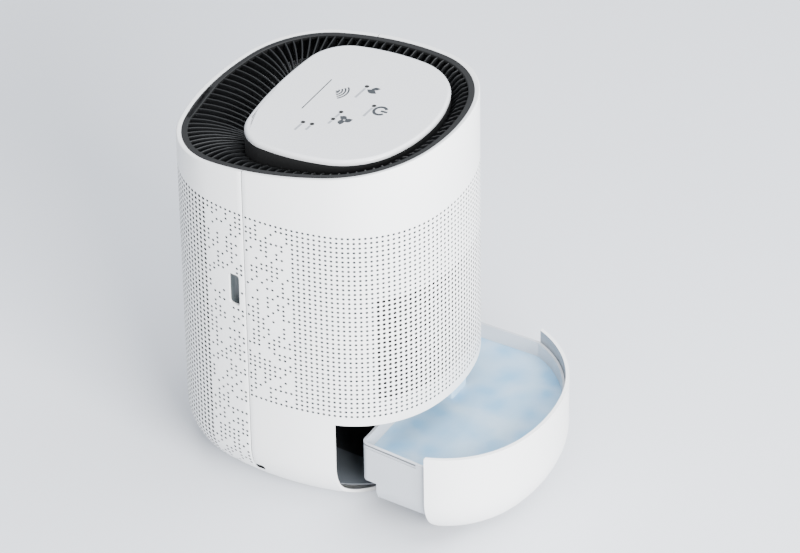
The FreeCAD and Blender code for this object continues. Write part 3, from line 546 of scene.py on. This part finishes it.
def shell_grid(name, turns, rows):
    """Closed wall between two seams: outer skin, inner skin, rim, lip and end faces."""
    columns = lipped(turns)
    points = []
    for turn, lip in columns:
        for outer, inner in rows:
            points.append(row_point(turn, outer, lip))
            points.append(row_point(turn, inner))
    n = len(rows)

    def at(col, row, side):
        return (col * n + row) * 2 + side

    faces = []
    for c in range(len(columns) - 1):
        for r in range(n - 1):
            faces.append((at(c, r, 0), at(c + 1, r, 0), at(c + 1, r + 1, 0), at(c, r + 1, 0)))
            faces.append((at(c, r, 1), at(c, r + 1, 1), at(c + 1, r + 1, 1), at(c + 1, r, 1)))
        faces.append((at(c, 0, 0), at(c, 0, 1), at(c + 1, 0, 1), at(c + 1, 0, 0)))
        faces.append((at(c, n - 1, 0), at(c + 1, n - 1, 0), at(c + 1, n - 1, 1), at(c, n - 1, 1)))
    last = len(columns) - 1
    for r in range(n - 1):
        faces.append((at(0, r, 0), at(0, r + 1, 0), at(0, r + 1, 1), at(0, r, 1)))
        faces.append((at(last, r, 0), at(last, r, 1), at(last, r + 1, 1), at(last, r + 1, 0)))
    obj = mesh_piece(name, points, faces)
    dress(obj, WHITE_ABS, DOT_SHADE_GREY, DOT_SHADE_DARK)
    # the end faces at the two seams take the grey dot finish: painted shade for the gap between the shells
    for face in list(obj.data.polygons)[-2 * (n - 1):]:
        face.material_index = 1
    outward(obj)
    return obj


SCATTER_FRONT = 9                     # columns beside the seam where some dots are missing
SCATTER_REAR = 8
GAP_SHARE = 0.45
CORE_TURN = 48.5                      # dots are open where the cold core stands behind them
CORE_LOW, CORE_HIGH = 132.0, 237.0


def cell_frames(turns, rows, wanted):
    """Middle of each wanted grid cell with its dot's radius, depth and floor slot."""
    cells = []
    inner = [turn for turn, lip in lipped(turns)[2:-2]]
    for c in range(len(turns) - 1):
        for r in range(1, len(rows) - 7):
            corners = [row_point(inner[c + i], rows[r + j][0])
                       for i, j in ((0, 0), (1, 0), (1, 1), (0, 1))]
            middle = sum(corners, Vector()) / 4
            width = (corners[1] - corners[0]).length
            height = (corners[3] - corners[0]).length
            kind = wanted(c, r, (turns[c] + turns[c + 1]) / 2, middle)
            if kind:
                cells.append((middle, min(DOT_R[kind], 0.34 * width, 0.34 * height), kind))
    return cells


def punch_dots(obj, cells):
    """Replaces each cell's face by a ring of faces round an eight-sided dot with a floor."""
    bm = bmesh.new()
    bm.from_mesh(obj.data)
    tree = KDTree(len(bm.faces))
    faces = list(bm.faces)
    for i, f in enumerate(faces):
        tree.insert(f.calc_center_median(), i)
    tree.balance()
    gone = []
    for middle, radius, kind in cells:
        centre, i, dist = tree.find(middle * MM)
        face = faces[i]
        if dist > 0.0002 or len(face.verts) != 4:
            continue
        corner = list(face.verts)
        n = face.normal.copy()
        depth = 0.8 if kind == 1 else 1.8
        first = (corner[0].co - centre).normalized()
        side = n.cross(first)
        r = radius * MM
        tops = []
        lows = []
        for k in range(8):
            t = math.radians(45 * k + 22.5)
            way = first * math.cos(t) + side * math.sin(t)
            tops.append(bm.verts.new(centre + way * r))
            lows.append(bm.verts.new(centre + way * r * 0.94 - n * depth * MM))
        for k in range(4):
            bm.faces.new((corner[k], corner[(k + 1) % 4], tops[(2 * k + 1) % 8], tops[2 * k]))
            bm.faces.new((corner[k], tops[2 * k], tops[(2 * k - 1) % 8]))
        for k in range(8):
            # dot walls and floors take the dot finishes: painted shade in the recesses
            side_face = bm.faces.new((tops[k], tops[(k + 1) % 8], lows[(k + 1) % 8], lows[k]))
            side_face.material_index = kind
        floor = bm.faces.new(lows)
        floor.material_index = kind
        gone.append(face)
    bmesh.ops.delete(bm, geom=gone, context="FACES_ONLY")
    bm.to_mesh(obj.data)
    bm.free()


def scatter(col, row):
    """A fixed irregular pattern of kept dots beside the seam."""
    return math.modf(abs(math.sin(col * 12.9898 + row * 78.233)) * 43758.5453)[0]


def front_shell():
    limit = seam_turn(SEAM_Y)
    length = arc_length(BODY, limit)
    cols = round(2 * length / DOT_PITCH)
    turns = [turn_at(BODY, -length + 2 * length * c / cols) for c in range(cols + 1)]
    rows = shell_rows(False)
    shell = shell_grid("front_shell_skin", turns, rows)
    cutter = add_box("opening", (-200, -300, OPEN_LOW), (200, open_edge(), OPEN_TOP))
    bm = bmesh.new()
    bm.from_mesh(cutter.data)
    foot = [e for e in bm.edges
            if all(v.co.z < (OPEN_LOW + 1) * MM and v.co.y > -0.2 for v in e.verts)]
    bmesh.ops.bevel(bm, geom=foot, offset=OPEN_CORNER * MM, segments=12, affect="EDGES", profile=0.5)
    bm.to_mesh(cutter.data)
    bm.free()
    cut_away(shell, cutter)
    for side in (-1, 1):
        x0, x1 = sorted((side * 95, side * 125))
        slot = add_box("slot", (x0, SEAM_Y - 9.6, 28.0), (x1, SEAM_Y - 1.2, 33.8), bevel=1.6)
        # the slot's cut walls take the near-black dot finish: painted shade inside the slot
        dress(slot, DOT_SHADE_DARK)
        cut_away(shell, slot)

    def wanted(c, r, turn, middle):
        if middle.z < DOTS_LOW or middle.z > DOTS_HIGH:
            return 0
        from_seam = min(c, cols - 1 - c)
        inner_row = DOTS_LOW + DOT_PITCH < middle.z < DOTS_HIGH - DOT_PITCH
        if from_seam < SCATTER_FRONT and inner_row and scatter(c, r) < GAP_SHARE:
            return 0
        if abs(turn) < CORE_TURN and CORE_LOW < middle.z < CORE_HIGH:
            return 2
        return 1

    punch_dots(shell, cell_frames(turns, rows, wanted))
    smooth(shell)
    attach(shell, "housing")
    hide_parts("front_shell")
    return shell


COVER_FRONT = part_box("rear_cover")[0][1] / MM
GRIP_LOW, GRIP_HIGH = [Vector(v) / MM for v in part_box("grip_cups")]
INLET_LOW, INLET_HIGH = [Vector(v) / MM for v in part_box("dc_inlet")]
REAR_DOTS_LOW = 16.0
INLET_CLEAR = 13.0                    # plain wall round the power inlet


def rear_cover():
    limit = seam_turn(COVER_FRONT)
    whole = arc_length(BODY, 180.0)
    start = arc_length(BODY, limit)
    length = whole - start
    cols = round(2 * length / DOT_PITCH)
    turns = []
    for c in range(cols + 1):
        along = start + 2 * length * c / cols
        turns.append(turn_at(BODY, along) if along <= whole else turn_at(BODY, along - 2 * whole))
    rows = shell_rows(True)
    cover = shell_grid("rear_cover_skin", turns, rows)
    y0, y1 = GRIP_LOW.y + 3.4, GRIP_LOW.y + 13.8
    z0, z1 = GRIP_LOW.z + 3.0, GRIP_HIGH.z - 3.0
    cups = []
    for side in (-1, 1):
        x0, x1 = sorted((side * 95, side * 130))
        cut_away(cover, add_box("grip", (x0, y0, z0), (x1, y1, z1), bevel=2.6))
        x0, x1 = sorted((side * 99.5, side * (GRIP_HIGH.x - 4.0)))
        cup = add_box("cup", (x0, y0 - 1.4, z0 - 1.4), (x1, y1 + 1.4, z1 + 1.4), bevel=2.0)
        x0, x1 = sorted((side * 100.7, side * 130))
        cut_away(cup, add_box("grip", (x0, y0 - 0.2, z0 - 0.2), (x1, y1 + 0.2, z1 + 0.2), bevel=2.6))
        cups.append(cup)
    cup = join("finger_cups", cups)
    dress(cup, CUP_GREY)
    smooth(cup)
    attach(cup, "rear_access")
    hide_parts("grip_cups")
    deselect()
    middle = (INLET_LOW.z + INLET_HIGH.z) / 2
    bpy.ops.mesh.primitive_cylinder_add(vertices=40, radius=0.008, depth=0.06,
                                        location=(0, INLET_HIGH.y * MM, middle * MM),
                                        rotation=(math.pi / 2, 0, 0))
    cutter = bpy.context.active_object
    settle(cutter)
    cut_away(cover, cutter)

    def wanted(c, r, turn, mid):
        if mid.z < REAR_DOTS_LOW or mid.z > DOTS_HIGH:
            return 0
        from_inlet = (Vector((mid.x, mid.z)) - Vector((0, middle))).length
        if from_inlet < INLET_CLEAR and mid.y > 60:
            return 0
        from_seam = min(c, cols - 1 - c)
        if from_seam < SCATTER_REAR:
            return 0 if mid.z < DOTS_HIGH - DOT_PITCH and scatter(c + 90, r) < GAP_SHARE else 1
        return 2

    punch_dots(cover, cell_frames(turns, rows, wanted))
    smooth(cover)
    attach(cover, "rear_access")
    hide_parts("rear_cover")
    rails = []
    low, high = [Vector(v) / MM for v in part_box("filter_frame")]
    for side in (-1, 1):
        x0, x1 = sorted((side * (high.x + 0.5), side * (high.x + 3.5)))
        rails.append(add_box("rail", (x0, low.y - 2, low.z), (x1, low.y + 10, high.z), bevel=0.4))
        x0, x1 = sorted((side * (high.x - 3), side * (high.x + 3)))
        rails.append(add_box("rail", (x0, low.y - 2, low.z), (x1, low.y - 0.3, high.z), bevel=0.3))
    rails.append(add_box("rail", (low.x, low.y - 2, low.z - 3), (high.x, low.y + 22, low.z - 0.2),
                         bevel=0.4))
    rail = join("filter_rails", rails)
    dress(rail, WHITE_ABS)
    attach(rail, "rear_access")
    return cover


# ---------- vent ring ----------

def outline_band(name, chain, section, columns, cap=False):
    """A section of (inset, height over the rim's plane) points carried round the outline;
    a height of None is just under the pad's edge."""
    whole = arc_length(chain, 180.0)
    points = []
    for c in range(columns):
        along = -whole + 2 * whole * c / columns
        turn = turn_at(chain, along)
        for inset, dz in section:
            p = outline_point(chain, turn, inset)
            z = pad_at(p.y, -PAD_EDGE - 0.5) if dz is None else top_at(p.y, dz)
            points.append(Vector((p.x, p.y, z)))
    n = len(section)
    faces = []
    for c in range(columns):
        d = (c + 1) % columns
        for r in range(n if not cap else n - 1):
            s = (r + 1) % n
            faces.append((c * n + r, d * n + r, d * n + s, c * n + s))
    if cap:
        faces.append([c * n for c in range(columns)])
        faces.append([c * n + n - 1 for c in range(columns)])
    obj = mesh_piece(name, points, faces)
    outward(obj)
    return obj


VENT_EDGE = 4.5
VENT_BORDER = 5.0
COLLAR_T = 2.2
FIN_COUNT = 92


def inside(polygon, p):
    hit = False
    for a, b in zip(polygon, polygon[1:] + polygon[:1]):
        if (a.y > p.y) != (b.y > p.y) and p.x < (b.x - a.x) * (p.y - a.y) / (b.y - a.y) + a.x:
            hit = not hit
    return hit


def vent_fins():
    """Upright blades that leave the border square on, bend to one side and dive to the collar."""
    whole = arc_length(BODY, 180.0)
    collar = [outline_point(PAD, turn_at(PAD, s), 0.6) for s in
              [-arc_length(PAD, 180.0) * (1 - 2 * i / 160) for i in range(160)]]
    points = []
    faces = []
    for i in range(FIN_COUNT):
        turn = turn_at(BODY, -whole + 2 * whole * (i + 0.5) / FIN_COUNT)
        p = outline_point(BODY, turn, VENT_EDGE + VENT_BORDER - 1.5)
        q = outline_point(BODY, turn, VENT_EDGE + VENT_BORDER)
        way = (q - p).normalized()
        trail = [p.copy()]
        step = 1.5
        while not inside(collar, trail[-1]) and len(trail) < 60:
            way = Matrix.Rotation(math.radians(-0.4), 3, "Z") @ way
            trail.append(trail[-1] + way * step)
        picks = [trail[round(k * (len(trail) - 1) / 9)] for k in range(10)]
        base = len(points)
        for k, c in enumerate(picks):
            ahead = picks[min(k + 1, 9)] - picks[max(k - 1, 0)]
            side = Vector((-ahead.y, ahead.x, 0)).normalized()
            t = k / 9
            drop = -1.2 - 13.0 * (t ** 2.0)
            low = max(drop - 7.0, -23.5)
            for across, dz in ((-0.6, low), (-0.6, drop - 0.3), (-0.3, drop),
                               (0.3, drop), (0.6, drop - 0.3), (0.6, low)):
                v = c + side * across
                points.append(Vector((v.x, v.y, top_at(v.y, dz))))
        for k in range(9):
            for r in range(6):
                s = (r + 1) % 6
                a, b = base + k * 6, base + (k + 1) * 6
                faces.append((a + r, a + s, b + s, b + r))
        faces.append([base + r for r in range(6)])
        faces.append([base + 54 + r for r in range(6)])
    fins = mesh_piece("vent_fins", points, faces)
    outward(fins)
    return fins


def vent_ring():
    e = VENT_EDGE
    w = VENT_BORDER
    border = outline_band("vent_border", BODY, [(e, -24.0), (e, -1.0), (e + 0.4, -0.6), (e + w - 0.5, -0.6),
                                                (e + w, -1.1), (e + w, -3.4), (e + 2.0, -3.4),
                                                (e + 2.0, -24.0)], 200)
    # the collar rises to just under the pad's edge: a near-black wall standing in for the shade under the pad
    collar = outline_band("vent_collar", PAD, [(0.0, -24.0), (0.0, None), (COLLAR_T, None),
                                               (COLLAR_T, -24.0)], 160)
    # plate under the fins: a near-black sheet standing in for the shade inside the vent
    plate = outline_band("vent_plate", PAD, [(0.2, -22.2), (0.2, -23.8)], 120, cap=True)
    legs = []
    fan_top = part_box("fan_frame")[1][2] / MM
    for x in (-52.5, 52.5):
        for y in (-52.5, 52.5):
            deselect()
            high = top_at(y, -23.0)
            bpy.ops.mesh.primitive_cylinder_add(vertices=32, radius=0.0045, depth=(high - fan_top) * MM,
                                                location=(x * MM, y * MM, (high + fan_top) / 2 * MM))
            legs.append(bpy.context.active_object)
            settle(legs[-1])
    body = join("vent_collar_ring", [collar, plate] + legs)
    dress(body, CHARCOAL_AND_SHADE)
    smooth(body)
    dress(border, CHARCOAL)
    smooth(border)
    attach(border, "housing")
    fins = vent_fins()
    dress(fins, CHARCOAL_FIN)
    smooth(fins, 40)
    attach(body, "housing")
    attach(fins, "housing")
    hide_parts("vent_ring")


# ---------- pad ----------

def control_pad():
    """Pad with a full round on its edge and six small holes for the lamps."""
    section = [(2.6, -9.0), (2.6, -PAD_EDGE), (0.15, -PAD_EDGE), (0.0, -PAD_EDGE + 0.2)]
    for k in range(9):
        a = math.pi / 2 * k / 8
        section.append((3.0 * (1 - math.cos(a)), -3.0 * (1 - math.sin(a))))
    section.append((3.6, 0.0))
    whole = arc_length(PAD, 180.0)
    columns = 240
    points = []
    for c in range(columns):
        turn = turn_at(PAD, -whole + 2 * whole * c / columns)
        for inset, dz in section:
            p = outline_point(PAD, turn, inset)
            points.append(Vector((p.x, p.y, pad_at(p.y, dz))))
    n = len(section)
    faces = []
    for c in range(columns):
        d = (c + 1) % columns
        for r in range(n - 1):
            faces.append((c * n + r, d * n + r, d * n + r + 1, c * n + r + 1))
    faces.append([c * n for c in range(columns)])
    faces.append([c * n + n - 1 for c in range(columns)])
    pad = mesh_piece("pad", points, faces)
    outward(pad)
    cut_away(pad, join("drills", [lamp_pin(x, y, 1.95, -3.5, 3.0) for x, y in LAMPS]))
    make_active(pad)
    bpy.ops.object.mode_set(mode="EDIT")
    bpy.ops.mesh.select_all(action="SELECT")
    bpy.ops.mesh.quads_convert_to_tris(quad_method="BEAUTY", ngon_method="BEAUTY")
    bpy.ops.object.mode_set(mode="OBJECT")
    dress(pad, PAD_ABS)
    smooth(pad, 35)
    for face in pad.data.polygons:
        if face.normal.z > 0.99 and face.center.z / MM > pad_at(face.center.y / MM, -0.01):
            face.use_smooth = False
    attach(pad, "housing")
    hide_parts("control_pad")


def lamp_pin(x, y, radius, low, high):
    """Upright pin at a lamp's place, between two heights over the pad's face."""
    deselect()
    bpy.ops.mesh.primitive_cylinder_add(
        vertices=24, radius=radius * MM, depth=(high - low) * MM,
        location=(x * MM, y * MM, (pad_at(y) + (low + high) / 2) * MM))
    pin = bpy.context.active_object
    settle(pin)
    return pin


def lamps():
    pins = join("lamp_pins", [lamp_pin(x, y, 1.9, -4.2, 0.1) for x, y in LAMPS])
    dress(pins, LENS)
    smooth(pins)
    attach(pins, "housing")
    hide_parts("lamps")


# ends of the short lines beside the signs
TICKS = (((9.5, -17.4), (24.2, -18.2)), ((-11.4, -38.0), (1.9, -38.6)), ((-31.7, -16.7), (-27.0, -17.1)),
         ((-49.9, 4.2), (-40.2, 3.6)), ((-46.4, -4.3), (-39.8, -4.8)), ((-21.9, -17.4), (-15.6, -17.9)))


def pad_prints():
    """Thin printed signs on the pad: waves, leaf, power and fan, with a plain tick by each lamp."""
    shapes = []

    def strip(points, width, lift=0.06):
        """Flat ribbon along points, lying on the pad's face."""
        base = []
        faces = []
        for k, p in enumerate(points):
            a = points[max(k - 1, 0)]
            b = points[min(k + 1, len(points) - 1)]
            ahead = (Vector(b) - Vector(a)).normalized()
            side = Vector((-ahead.y, ahead.x)) * (width[k] if isinstance(width, list) else width) / 2
            for q in (Vector(p) + side, Vector(p) - side):
                for dz in (lift, -0.25):
                    base.append(Vector((q.x, q.y, pad_at(q.y, dz))))
        n = len(points)
        for k in range(n - 1):
            a, b = 4 * k, 4 * k + 4
            faces += [(a, a + 2, b + 2, b), (a + 1, b + 1, b + 3, a + 3),
                      (a, b, b + 1, a + 1), (a + 2, a + 3, b + 3, b + 2)]
        faces += [(0, 1, 3, 2), (4 * n - 4, 4 * n - 2, 4 * n - 1, 4 * n - 3)]
        obj = mesh_piece("sign", base, faces)
        outward(obj)
        shapes.append(obj)

    def bow(cx, cy, r, a0, a1, width, steps=20):
        turns = [math.radians(a0 + (a1 - a0) * k / steps) for k in range(steps + 1)]
        strip([(cx + r * math.cos(a), cy + r * math.sin(a)) for a in turns], width)

    def petal(cx, cy, long, wide, way, lift=0.06):
        """Leaf shape pointed at both ends."""
        d = Vector((math.cos(math.radians(way)), math.sin(math.radians(way))))
        steps = 10
        pts = [(cx + d.x * long * (k / steps - 0.5), cy + d.y * long * (k / steps - 0.5))
               for k in range(steps + 1)]
        strip(pts, [max(wide * math.sin(math.pi * k / steps), 0.15) for k in range(steps + 1)], lift)

    # power: ring open towards the front, with a bar in the gap
    bow(0.3, -47.0, 5.4, -55, 235, 2.6, 34)
    strip([(0.3, -53.6), (0.3, -47.6)], 2.4)
    # waves over a point
    for r in (3.4, 6.0, 8.7, 11.4):
        bow(11.7, 3.2, r, 219, 318, 1.5)
    bow(11.7, 1.6, 0.5, 0, 350, 1.0, 12)
    # fan: three petals round a hub
    for k in range(3):
        way = 120 * k + 40
        x = -22.4 + 3.5 * math.cos(math.radians(way))
        y = -26.3 + 3.5 * math.sin(math.radians(way))
        petal(x, y, 7.8, 5.6, way + 35)
    # two leaves side by side
    petal(22.0, -25.6, 10.5, 5.4, 75)
    petal(26.6, -27.2, 8.0, 4.2, 110, 0.05)
    # one plain line where the maker's word would be
    strip([(-21.0, 15.2), (25.0, 14.6)], 1.1, 0.05)
    signs = join("pad_prints", shapes)
    dress(signs, PRINT_INK)
    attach(signs, "housing")
    # plain ticks where the machine's labels would be
    shapes = []
    for a, b in TICKS:
        strip([a, b], 2.2, 0.05)
    ticks = join("pad_ticks", shapes)
    dress(ticks, PALE_INK)
    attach(ticks, "housing")


# ---------- water ----------

TANK_HIGH = Vector(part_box("tank_body")[1]) / MM
DRAWN = BODY_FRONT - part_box("tank_front")[0][1] / MM      # how far the drawer stands out
TANK_HALF = OPEN_HALF - 3.6
TANK_TAPER = 0.039
TANK_WALL = 2.2


def tank_half(y, inset):
    """Tank's half width at y of the closed tank."""
    joint_y = outline_point(BODY, 74.0).y
    return TANK_HALF - inset - TANK_TAPER * (y - joint_y)


def tank_loop(inset, back_r, front=True, y_end=-48.0):
    """Plan of the closed tank drawn in by inset, as points from the left side round the back to the right."""
    back = TANK_HIGH.y + DRAWN - inset
    half = tank_half(back, inset)
    right = []
    for k in range(9):
        a = math.pi / 2 * k / 8
        right.append(Vector((half - back_r + back_r * math.sin(a), back - back_r + back_r * math.cos(a), 0)))
    if front:
        for k in range(61):
            turn = 80.0 * (1 - k / 60.0)
            p = outline_point(BODY, turn, 3.5 + inset)
            right.append(Vector((min(p.x, tank_half(p.y, inset)), p.y, 0)))
    else:
        right.append(Vector((tank_half(y_end, inset), y_end, 0)))
    left = [Vector((-p.x, p.y, 0)) for p in reversed(right)]
    return left + right


def water():
    """Body of water in the tank, a little below the rim and just clear of the walls."""
    level = TANK_HIGH.z - 15.0
    loop = tank_loop(TANK_WALL + 0.05, 3.8)
    clean = []
    for p in loop:
        if not clean or (p - clean[-1]).length > 0.3:
            clean.append(p)
    if (clean[0] - clean[-1]).length < 0.3:
        clean.pop()
    n = len(clean)
    points = [Vector((p.x, p.y - DRAWN, level)) for p in clean]
    points += [Vector((p.x, p.y - DRAWN, level - 12.0)) for p in clean]
    faces = [list(range(n)), [n + i for i in reversed(range(n))]]
    for i in range(n):
        j = (i + 1) % n
        faces.append((i, j, n + j, n + i))
    body = mesh_piece("tank_water", points, faces)
    outward(body)
    dress(body, WATER)
    smooth(body)
    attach(body, "tank")


def tank_rim_band():
    """Dark grey band round the sides and back of the tank, just under the rim, half sunk into the wall."""
    outer = tank_loop(-0.4, 6.4, front=False)
    inner = tank_loop(0.85, 5.2, front=False)
    n = len(outer)
    points = []
    for z in (TANK_HIGH.z - 1.9, TANK_HIGH.z - 0.7):
        points += [Vector((p.x, p.y - DRAWN, z)) for p in outer]
        points += [Vector((p.x, p.y - DRAWN, z)) for p in inner]
    faces = []
    for i in range(n - 1):
        j = i + 1
        faces += [(i, j, 2 * n + j, 2 * n + i), (n + i, 3 * n + i, 3 * n + j, n + j),
                  (i, n + i, n + j, j), (2 * n + i, 2 * n + j, 3 * n + j, 3 * n + i)]
    faces += [(0, 2 * n, 3 * n, n), (n - 1, 2 * n - 1, 4 * n - 1, 3 * n - 1)]
    seal = mesh_piece("tank_rim_band", points, faces)
    outward(seal)
    dress(seal, RIM_BAND_GREY)
    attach(seal, "tank")


# ---------- carried-over pieces ----------

SLOT_FINISH = {
    "shell_white": WHITE_ABS, "pad_white": PAD_ABS, "dark_plastic": DARK_PP, "vent_charcoal": CHARCOAL,
    "bay_grey": BAY_GREY, "foot_rubber": FOOT_RUBBER, "sink_aluminium": ALUMINIUM, "module_ceramic": CERAMIC,
    "foam_black": EVA_FOAM, "fan_black": FAN_PBT, "bearing_bronze": BRONZE, "coil_copper": COPPER,
    "magnet_dark": MAGNET, "steel_bright": STEEL, "screw_steel": SCREW_ZINC, "lamp_lens": LENS,
    "board_green": BOARD, "filter_grey": FILTER_GREY, "filter_fibre": FELT, "tank_grey": TANK_PP,
    "float_foam": FLOAT_FOAM}
for part in frame["record"]["subparts"]:
    dress(NODES[part["node"]], SLOT_FINISH[part["material_slot"]])
# the drawer front carries grey painted shade on its faces turned back to the body
dress(NODES["tank_front"], FRONT_ABS)


# ---------- room ----------

def room():
    deselect()
    bpy.ops.mesh.primitive_plane_add(size=14, location=(0, 0, 0))
    floor = bpy.context.active_object
    floor.name = "floor"
    mat, tree, where = blank("pale_floor")
    cloud = add(tree, "ShaderNodeTexNoise", {}, {"Vector": where, "Scale": 3.0, "Detail": 2.0})
    tint = add(tree, "ShaderNodeMix", {"data_type": "RGBA"},
               {0: cloud.outputs["Fac"], 6: colour("#DCDFE4"), 7: colour("#D8DBE1")})
    skin = add(tree, "ShaderNodeBsdfPrincipled", {}, {"Base Color": tint.outputs[2], "Roughness": 0.6})
    add(tree, "ShaderNodeOutputMaterial", {}, {"Surface": skin.outputs["BSDF"]})
    dress(floor, mat)
    world = bpy.data.worlds.new("soft_sky")
    bpy.context.scene.world = world
    world.use_nodes = True
    sky = world.node_tree.nodes["Background"]
    sky.inputs["Color"].default_value = colour("#E6EBF2")
    sky.inputs["Strength"].default_value = 0.9

    def panel(name, place, size, power, tone):
        light = bpy.data.lights.new(name, "AREA")
        light.shape = "RECTANGLE"
        light.size, light.size_y = size
        light.energy = power
        light.color = colour(tone)[:3]
        obj = bpy.data.objects.new(name, light)
        bpy.context.scene.collection.objects.link(obj)
        obj.location = place
        obj.rotation_mode = "QUATERNION"
        obj.rotation_quaternion = (Vector((0, 0, 0.15)) - Vector(place)).to_track_quat("-Z", "Y")

    panel("key", (-1.15, -2.05, 1.1), (1.5, 1.3), 240, "#FFFFFF")
    panel("top", (0.2, -0.3, 2.2), (2.0, 2.0), 74, "#F7FAFF")
    panel("rim", (1.7, -1.0, 0.9), (1.2, 1.2), 8, "#F2F6FF")


def camera():
    """Seen from the left and front, from above, with a long lens."""
    turn, rise, roll = math.radians(-58.61), math.radians(38.64), math.radians(-0.884)
    back = Vector((math.sin(turn) * math.cos(rise), -math.cos(turn) * math.cos(rise), math.sin(rise)))
    right = Vector((math.cos(turn), math.sin(turn), 0))
    up = back.cross(right)
    right, up = right * math.cos(roll) + up * math.sin(roll), up * math.cos(roll) - right * math.sin(roll)
    cam = bpy.data.cameras.new("camera")
    cam.sensor_width = 36.0
    cam.lens = 5459.0 / 800 * 36.0
    cam.clip_end = 50
    obj = bpy.data.objects.new("camera", cam)
    bpy.context.scene.collection.objects.link(obj)
    place = Vector((-3.0307, -1.9128, 3.0329))
    grid = Matrix((right, up, back)).transposed().to_4x4()
    obj.matrix_world = Matrix.Translation(place) @ grid
    bpy.context.scene.camera = obj


camera()
room()
front_shell()
rear_cover()
vent_ring()
control_pad()
lamps()
pad_prints()
water()
tank_rim_band()
